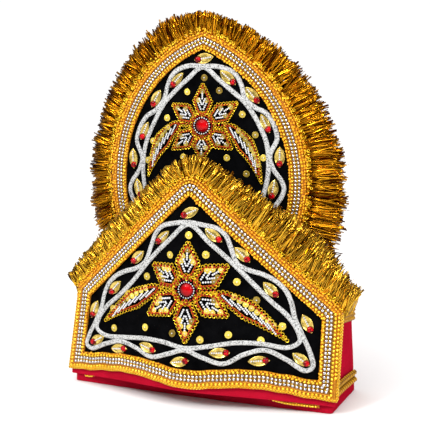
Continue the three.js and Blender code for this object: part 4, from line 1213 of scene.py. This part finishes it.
# Share combed upright at the foot, or downwards; reach beyond the header, from the apex to the foot;
# tufts; seed; tone, darker on the tall panel as painted shade; length of the header
fringes = [
    ("gable_fringe_left", GABLE, gable_header(-1, 0.1), (9.5, 10.2, 11.3, 12.3, 8.5), 340, 31, 0.0, 160),
    ("gable_fringe_right", GABLE, gable_header(1, 0.6), (12, 14, 18.5, 25.5, 16), 420, 37, 0.0, 160),
    ("tall_fringe_left", TALL, tall_header(-1, -0.6), (11, 16.5, 14, 15.5, 17.5), 480, 41, -0.27, 245),
    ("tall_fringe_right", TALL, tall_header(1, 0.1), (11, 14, 19, 24, 28), 560, 43, -0.16, 245),
]
for node, panel, header_at, reach, tufts, seed, tone, _ in fringes:
    panel_fringe(node, panel, header_at, reach, tufts, seed, tone)
for node, panel, header_at, _, _, seed, _, length in fringes:
    header_loops(node, panel, header_at, length, seed + 5)


def side_fringe(hand, side, tufts, seed):
    """Tufts along the top edge of a side wall, standing up and leaning outwards."""
    random = np.random.default_rng(seed)
    of_tuft = np.repeat(np.arange(tufts), STRANDS_PER_TUFT)
    count = len(of_tuft)
    tuft_layer = random.random(tufts)
    along = ((np.arange(tufts) + 0.5)[of_tuft] + random.normal(0, 0.5, count)) / tufts
    back = 0.1 + 0.84 * np.clip(along, 0, 1)
    base = side_wall(side, back, np.full_like(back, RING_TOP), 0.3 + 1.4 * tuft_layer[of_tuft])
    base[:, 2] += -1 + 2.5 * random.random(count)
    lean = random.normal(0, 0.1, (2, tufts))[:, of_tuft] + random.normal(0, 0.04, (2, count))
    way = unit(np.stack([side * (0.16 + lean[0]), lean[1], np.ones(count)], axis=1))
    length = SIDE_FRINGE_LONG * (0.86 + 0.24 * random.random(count))
    rings = []
    for share in STRAND_RINGS:
        bulge = np.array([side * 1.2, 0, 0]) * math.sin(math.pi * share)
        rings.append(base + way * (length * share)[:, None] + bulge)
    tones = strand_tones_and_depth_shade(random, tuft_layer, of_tuft)
    fringe_piece("side_tinsel_" + hand, "side_fringe_" + hand, np.stack(rings, axis=1), tones, seed + 1,
                 tinsel)


HANDS = (("left", -1), ("right", 1))
for hand, side in HANDS:
    side_fringe(hand, side, SIDE_FRINGE_TUFTS, 51 + side)


def side_band(name, node, side, low_front, low_rear, tall, ridges, from_back, to_back):
    """Gold braid round a side wall, with ridges along it."""
    def place(u, v):
        way = u if side > 0 else 1 - u
        back = from_back + (to_back - from_back) * way
        out = np.interp(v * (len(ridges) - 1), np.arange(len(ridges)), ridges)
        z = low_front + (low_rear - low_front) * way + tall * v
        return side_wall(side, back, z, out), paired(u * 60, v * tall)
    strip_piece(name, 50, 3 * (len(ridges) - 1), place, 1.0, gold_cord, "gold_lace", node)


BRAID_RIDGES = [1.4, 2.9, 3.2, 2.9, 1.3, 1.3, 2.9, 3.2, 2.9, 1.4]
HEADER_RIDGES = [1.8, 3.2, 2.2, 3.3, 2.2, 3.4, 2.6]
for hand, side in HANDS:
    side_band("side_braid_band_" + hand, "side_braid_" + hand, side, 11.5, 8.5, 12, BRAID_RIDGES, 0.05, 0.93)
    side_band("side_header_" + hand, None, side, 73, 66.5, 11.5, HEADER_RIDGES, 0.1, 0.94)


# Silver braid: heights across it, and how far its outer strand lies over its inner one
BRAID_RELIEF = [0.9, 1.7, 1.85, 1.6, 1.85, 1.7, 0.9]
BRAID_STEP = 1.2
BRAID_SPREAD = 1.17
OUTER_BRAID_LIFT = 0.25


def braid_strip(label, panel, half, closed, lift):
    """Flat braid with two rounded ridges, along its whole route."""
    points, along = spaced(stitched_braid(half, closed), BRAID_STEP, closed)
    if closed:
        points = np.concatenate([points, points[:1]])
        along = np.concatenate([along, along[:1]])
    relief = np.array(BRAID_RELIEF) + lift

    def place(u, v):
        at = np.rint(u * (len(points) - 1)).astype(int)
        row = np.rint(v * (len(relief) - 1)).astype(int)
        xz = points[at] + left_of(along)[at] * ((v - 0.5) * VINE_WIDE * BRAID_SPREAD)[:, None]
        return on_panel(panel, xz, relief[row])[0], paired(at * BRAID_STEP, v * VINE_WIDE)

    node = panel["name"] + "_vine"
    strip_piece(node + label, len(points) - 1, len(relief) - 1, place, 0.6, silver_braid, "silver_braid",
                node, closed=closed)


for panel, inner, outer, closed in ((GABLE, GABLE_INNER_BRAID, GABLE_OUTER_BRAID, True),
                                    (TALL, TALL_INNER_BRAID, TALL_OUTER_BRAID, False)):
    braid_strip("_inner", panel, inner, closed, 0.0)
    braid_strip("_outer", panel, outer, closed, OUTER_BRAID_LIFT)


# Flowers
CHAIN_PITCH = 3.3
CHAIN_OUT = 1.2
RED_DOT_OUT = 2.1
STITCH_OUT = 1.9
WHITE_BEAD_OUT = 2.3
STONE_RING_RADIUS = 6.6
STONE_RING_PITCH = 2.1
STONE_RING_OUT = 2.2
LOOSE_SEQUIN_OUT = 0.6
LOOSE_SEQUIN_BEAD_OUT = 1.1
chain_shape = gold_ring(1.36, 0.34, 10)
red_dot_shape = round_bead(0.95, 7, 5)
stitch_shape = round_bead(0.38, 5, 4, long=1.8)
seed_shape = round_bead(0.92, 7, 5)
line_bead_shape = round_bead(0.78, 7, 5)
pearl_shape = round_bead(0.62, 6, 4)
# Cup sequin: a thin disc with a flat rim and a shallow dish, closed underneath
sequin_shape = tiered_disc(16, 2.8, 0.3, [(0.08, 0.95), (0, 0.8), (-0.2, 0.72), (-0.06, 0.5)])


def bead_string(start, end, pitch):
    """Seed beads threaded between two points, side by side."""
    count = max(2, int(round(np.linalg.norm(end - start) / pitch)) + 1)
    share = np.linspace(0, 1, count)[:, None]
    along = np.broadcast_to(unit(end - start), (count, 2))
    return start * (1 - share) + end * share, along


def petal_filling(axis, wide, sequins):
    """White chevrons pointing to the stone, a string down the middle, and a sequin at each string's end."""
    def at(share, across):
        return beside_axis(axis, share, across * wide / STRING_PETAL_WIDE)
    return [(at(*start), at(*end)) for start, end in PETAL_STRINGS], [at(*spot) for spot in sequins]


def leaf_filling(axis, wide):
    """A row of overlapping sequins along a long leaf and slanting white strings below it."""
    spread = math.copysign(wide / 15, axis[2][0])
    starts = [0.10 + 0.1 * k for k in range(7)]
    strings = [(beside_axis(axis, start, 0.5 * spread),
                beside_axis(axis, start + 0.15, -3.0 * spread * (1 - 0.5 * start))) for start in starts]
    return strings, [beside_axis(axis, 0.22 + 0.078 * k, (3.6 - 0.22 * k) * spread) for k in range(8)]


def filled_axes(made):
    """Axis and width of each petal and of both long leaves, with the strings and sequins inside it."""
    centre = np.array([0, made["z"]])
    for turn, reach in made["petals"]:
        axis = [centre + turned(turn) * r for r in (made["from"], (made["from"] + reach) / 2, reach)]
        yield axis, made["wide"], petal_filling(axis, made["wide"], made["sequins"])
    for side in (-1, 1):
        axis = [(side * x, z) for x, z in made["leaf"]]
        yield axis, made["leaf_wide"], leaf_filling(axis, made["leaf_wide"])


def flower(panel, made):
    """Chain of gold rings, red dots and orange stitches round each petal, and the beadwork inside it."""
    name = panel["name"] + "_flower"
    size = made["chain"]
    pitch = CHAIN_PITCH * size
    collar = made["collar"]
    rings = []
    dots = []
    stitches = []
    strings = []
    sequins = []
    for axis, wide, (lines, discs) in filled_axes(made):
        route = petal_route(axis, wide)
        rings.append(spaced(route, pitch, True))
        dots.append(spaced(inset_route(route, 1.2 * size), 0.95 * pitch, True, start=0.5))
        stitches.append(spaced(inset_route(route, 1.9 * size), 1.3 * size, True))
        strings += [bead_string(start, end, 1.95 * size) for start, end in lines]
        sequins += discs

    def circle(radius, step, start=0.0):
        turns = np.linspace(0, 2 * math.pi, 200, endpoint=False)
        route = np.array([0, made["z"]]) + paired(np.cos(turns), np.sin(turns)) * radius
        return spaced(route, step, True, start)

    rings.append(circle(collar + 2.6 * size, pitch))
    dots.append(circle(collar - 0.5 * size, pitch))
    spokes, along = circle(collar, pitch, 0.5)
    stitches.append((spokes, left_of(along)))
    for side in (-1, 1):
        joining = side * np.arange(collar + 4 * size, made["leaf"][0][0] + 2 * size, pitch)
        for rows, rise in ((dots, 1.3 * size), (rings, -1.2 * size)):
            rows.append(level(paired(joining, np.full(len(joining), made["z"] + rise))))

    random = np.random.default_rng(len(name))
    stone_ring = circle(STONE_RING_RADIUS, STONE_RING_PITCH)
    strewn(name + "_stone_ring", pearl_shape, panel, stone_ring, STONE_RING_OUT, seed_bead, "gold_chain",
           seed=15)
    for label, rows, shape, sizes, out, look, node in (
            ("_chain", rings, chain_shape, size, CHAIN_OUT, chain_gold, name),
            ("_red_dots", dots, red_dot_shape, size, RED_DOT_OUT, red_thread, None),
            ("_stitches", stitches, stitch_shape, size, STITCH_OUT, orange_thread, None),
            ("_white_beads", strings, seed_shape, size ** 0.6, WHITE_BEAD_OUT, seed_bead, None)):
        row = joined(rows)
        tilt = random.normal(0, 0.1, (len(row[0]), 3))
        heights = out * size + 0.15 * random.random(len(row[0]))
        strewn(name + label, shape, panel, row, heights, look, "gold_chain", node, sizes, tilt, seed=13)
    count = len(sequins)
    row = level(np.array(sequins))
    tilt = random.normal(0, 0.07, (count, 3))
    tones = np.where(random.random(count) < 0.15, 0.1, made["shine"] + 0.45 * random.random(count))
    heights = 1.6 + 0.4 * random.random(count)
    strewn(name + "_sequins", sequin_shape, panel, row, heights, sequin_look, "gold_chain",
           sizes=0.9 * size ** 0.5, tilt=tilt, shades=tones)
    strewn(name + "_pearls", pearl_shape, panel, row, heights + 0.35, seed_bead, "gold_chain",
           sizes=0.8 * size)


flower(GABLE, GABLE_FLOWER)
flower(TALL, TALL_FLOWER)

# Loose sequins, each held by a bead
for panel, table, size in ((GABLE, GABLE_SEQUINS, 1.1), (TALL, TALL_SEQUINS, 0.98)):
    name = panel["name"] + "_sequins"
    spots = np.array(table, float)
    row = level(spots[:, :2])
    tilt = np.random.default_rng(23).normal(0, 0.05, (len(spots), 3))
    strewn(name, sequin_shape, panel, row, LOOSE_SEQUIN_OUT, sequin_look, "gold_chain", sizes=size,
           tilt=tilt, shades=spots[:, 2])
    strewn(name + "_beads", pearl_shape, panel, row, LOOSE_SEQUIN_BEAD_OUT, seed_bead, "gold_chain", seed=27)


# Stamped leaves with their stones and beads
leaf_shape = stamped_leaf(LEAF_LONG, LEAF_WIDE)
leaf_stone_shape = red_stone(2.7, 2.5, 12)
centre_stone_shape = red_stone(5.9, 4.4, 20)


def leaf_piece(panel, number, x, z, turn):
    """Leaf, stone and bead line as one piece, lying on the panel."""
    node = f"{panel['name']}_leaf_{number:02d}"
    parts = [(0, leaf_shape, 0, LEAF_OUT, TIGHT_LEAVES.get(node, 1.0)),
             (1, leaf_stone_shape, LEAF_STONE_AT, LEAF_STONE_OUT, 1)]
    parts += [(2, line_bead_shape, LEAF_BEADS_AT - LEAF_BEAD_PITCH * k, LEAF_BEAD_OUT, 1) for k in range(5)]
    way = turned(turn)
    points = np.empty((0, 3))
    faces = []
    looks_at = []
    for look, (shape_points, shape_faces), along, out, narrow in parts:
        xz = np.array([x, z]) + np.outer(shape_points[:, 0] + along, way)
        xz += np.outer(shape_points[:, 1] * narrow, left_of(way))
        faces += [tuple(corner + len(points) for corner in face) for face in shape_faces]
        looks_at += [look] * len(shape_faces)
        points = np.concatenate([points, on_panel(panel, xz, shape_points[:, 2] + out)[0]])
    name = node.replace("leaf", "stamped_leaf")
    piece = mesh_piece(name, points, face_corners(faces), [leaf_gold, cut_ruby, seed_bead], looks_at)
    finish_piece(piece, "gold_leaf", node, angle=35)


for panel, table in ((GABLE, GABLE_LEAVES), (TALL, TALL_LEAVES)):
    for number, (x, z, turn) in enumerate(table, 1):
        leaf_piece(panel, number, x, z, turn)

for panel, made in ((GABLE, GABLE_FLOWER), (TALL, TALL_FLOWER)):
    node = panel["name"] + "_stone"
    centre = level(np.array([[0.0, made["z"]]]))
    strewn(node + "_dome", centre_stone_shape, panel, centre, 0.5, ruby, "red_stone", node)


# Hem lace behind the gable's lower edge: middle, half width and drop of the stretches that show
HEM_SHOWS = [(-106, 9, 2.2), (96, 24, 3.0)]
HEM_HALF = 108
HEM_BEAD_HALF = 106
HEM_BEAD_PITCH = 2.2


def hem_drop(x):
    drops = [drop * np.exp(-(((x - middle) / wide) ** 4)) for middle, wide, drop in HEM_SHOWS]
    return np.maximum(0.2, np.max(drops, axis=0))


def hem_place(u, v):
    x = -HEM_HALF + 2 * HEM_HALF * u
    low = board_edge(x) - hem_drop(x) + 0.4 * np.sin(x * 1.9)
    xz = paired(x, low + (board_edge(x) + 7 - low) * v)
    return on_panel(GABLE, xz, BOARD_BACK - 0.3)[0], xz


strip_piece("hem_gold_lace", 2 * HEM_HALF, 4, hem_place, 0.8, gold_thread, "gold_lace", "hem_lace")
hem_x = np.arange(-HEM_BEAD_HALF, HEM_BEAD_HALF + 0.1, HEM_BEAD_PITCH)
hem_x = hem_x[hem_drop(hem_x) > 0.9]
hem_row = level(paired(hem_x, board_edge(hem_x) - hem_drop(hem_x) + 0.9))
strewn("hem_beads", bead_shape, GABLE, hem_row, BOARD_BACK - 0.2, gold_bead, "gold_lace", sizes=0.9, seed=33)

# Pale floor
start_fresh()
bpy.ops.mesh.primitive_grid_add(x_subdivisions=8, y_subdivisions=8, size=80, location=(0, 0, 0))
floor = bpy.context.active_object
floor.name = "floor"
pale = Look("pale_floor", (0.90, 0.895, 0.89), (0.93, 0.928, 0.925), 400, (0.8, 0.9), Specular_IOR_Level=0.1)
floor.data.materials.append(pale.material)

# Studio sky, bright overhead and dark towards the horizon, so that metal has something to mirror
world = bpy.data.worlds.new("studio")
bpy.context.scene.world = world
world.use_nodes = True
sky = world.node_tree
direction = add_node(sky, "TexCoord", {}).outputs["Generated"]
height = add_node(sky, "SeparateXYZ", {0: direction}).outputs["Z"]
fade = add_node(sky, "ValToRGB", {0: height})
dark_end, bright_end = fade.color_ramp.elements
dark_end.color = (0.10, 0.10, 0.105, 1)
bright_end.position = 0.7
bright_end.color = (0.9, 0.9, 0.9, 1)
backdrop = sky.nodes["Background"].inputs
backdrop["Strength"].default_value = 0.8
sky.links.new(fade.outputs["Color"], backdrop["Color"])


def facing(way):
    return Vector(way).to_track_quat("-Z", "Y").to_euler()


# Lamps: kind, place, the point that each shines at, energy, and how wide it is
LAMPS = {
    "soft_sun": ("SUN", (-0.3, -0.8, 1.35), (0, 0, 0), 2.1, {"angle": math.radians(60)}),
    "key_light": ("AREA", (-0.5, -1.2, 1.1), (0, 0, 0.16), 10, {"size": 0.3}),
    "fill_light": ("AREA", (1.3, -0.5, 0.8), (0, 0, 0.14), 9, {"size": 0.35}),
}
for name, (kind, place, target, energy, wide) in LAMPS.items():
    light = bpy.data.lights.new(name, kind)
    light.energy = energy
    for setting, value in wide.items():
        setattr(light, setting, value)
    holder = bpy.data.objects.new(name, light)
    holder.location = place
    holder.rotation_euler = facing(Vector(target) - Vector(place))
    bpy.context.scene.collection.objects.link(holder)

# Camera at the photo's angle; its focal length is given in pixels of the picture
CAMERA_TURN = math.radians(21.12)
CAMERA_DIP = math.radians(11.60)
CAMERA_PLACE = (0.3694, -0.9204 - CENTRE_Y * MM, 0.3604)
CAMERA_SENSOR = 36
FOCAL_PIXELS = 1228
PICTURE_PIXELS = 430
camera_data = bpy.data.cameras.new("photo_camera")
camera_data.sensor_width = CAMERA_SENSOR
camera_data.lens = CAMERA_SENSOR * FOCAL_PIXELS / PICTURE_PIXELS
camera = bpy.data.objects.new("photo_camera", camera_data)
camera.location = CAMERA_PLACE
ahead_x = -math.sin(CAMERA_TURN) * math.cos(CAMERA_DIP)
ahead_y = math.cos(CAMERA_TURN) * math.cos(CAMERA_DIP)
camera.rotation_euler = facing((ahead_x, ahead_y, -math.sin(CAMERA_DIP)))
bpy.context.scene.collection.objects.link(camera)
bpy.context.scene.camera = camera
bpy.context.scene.view_settings.view_transform = "Standard"
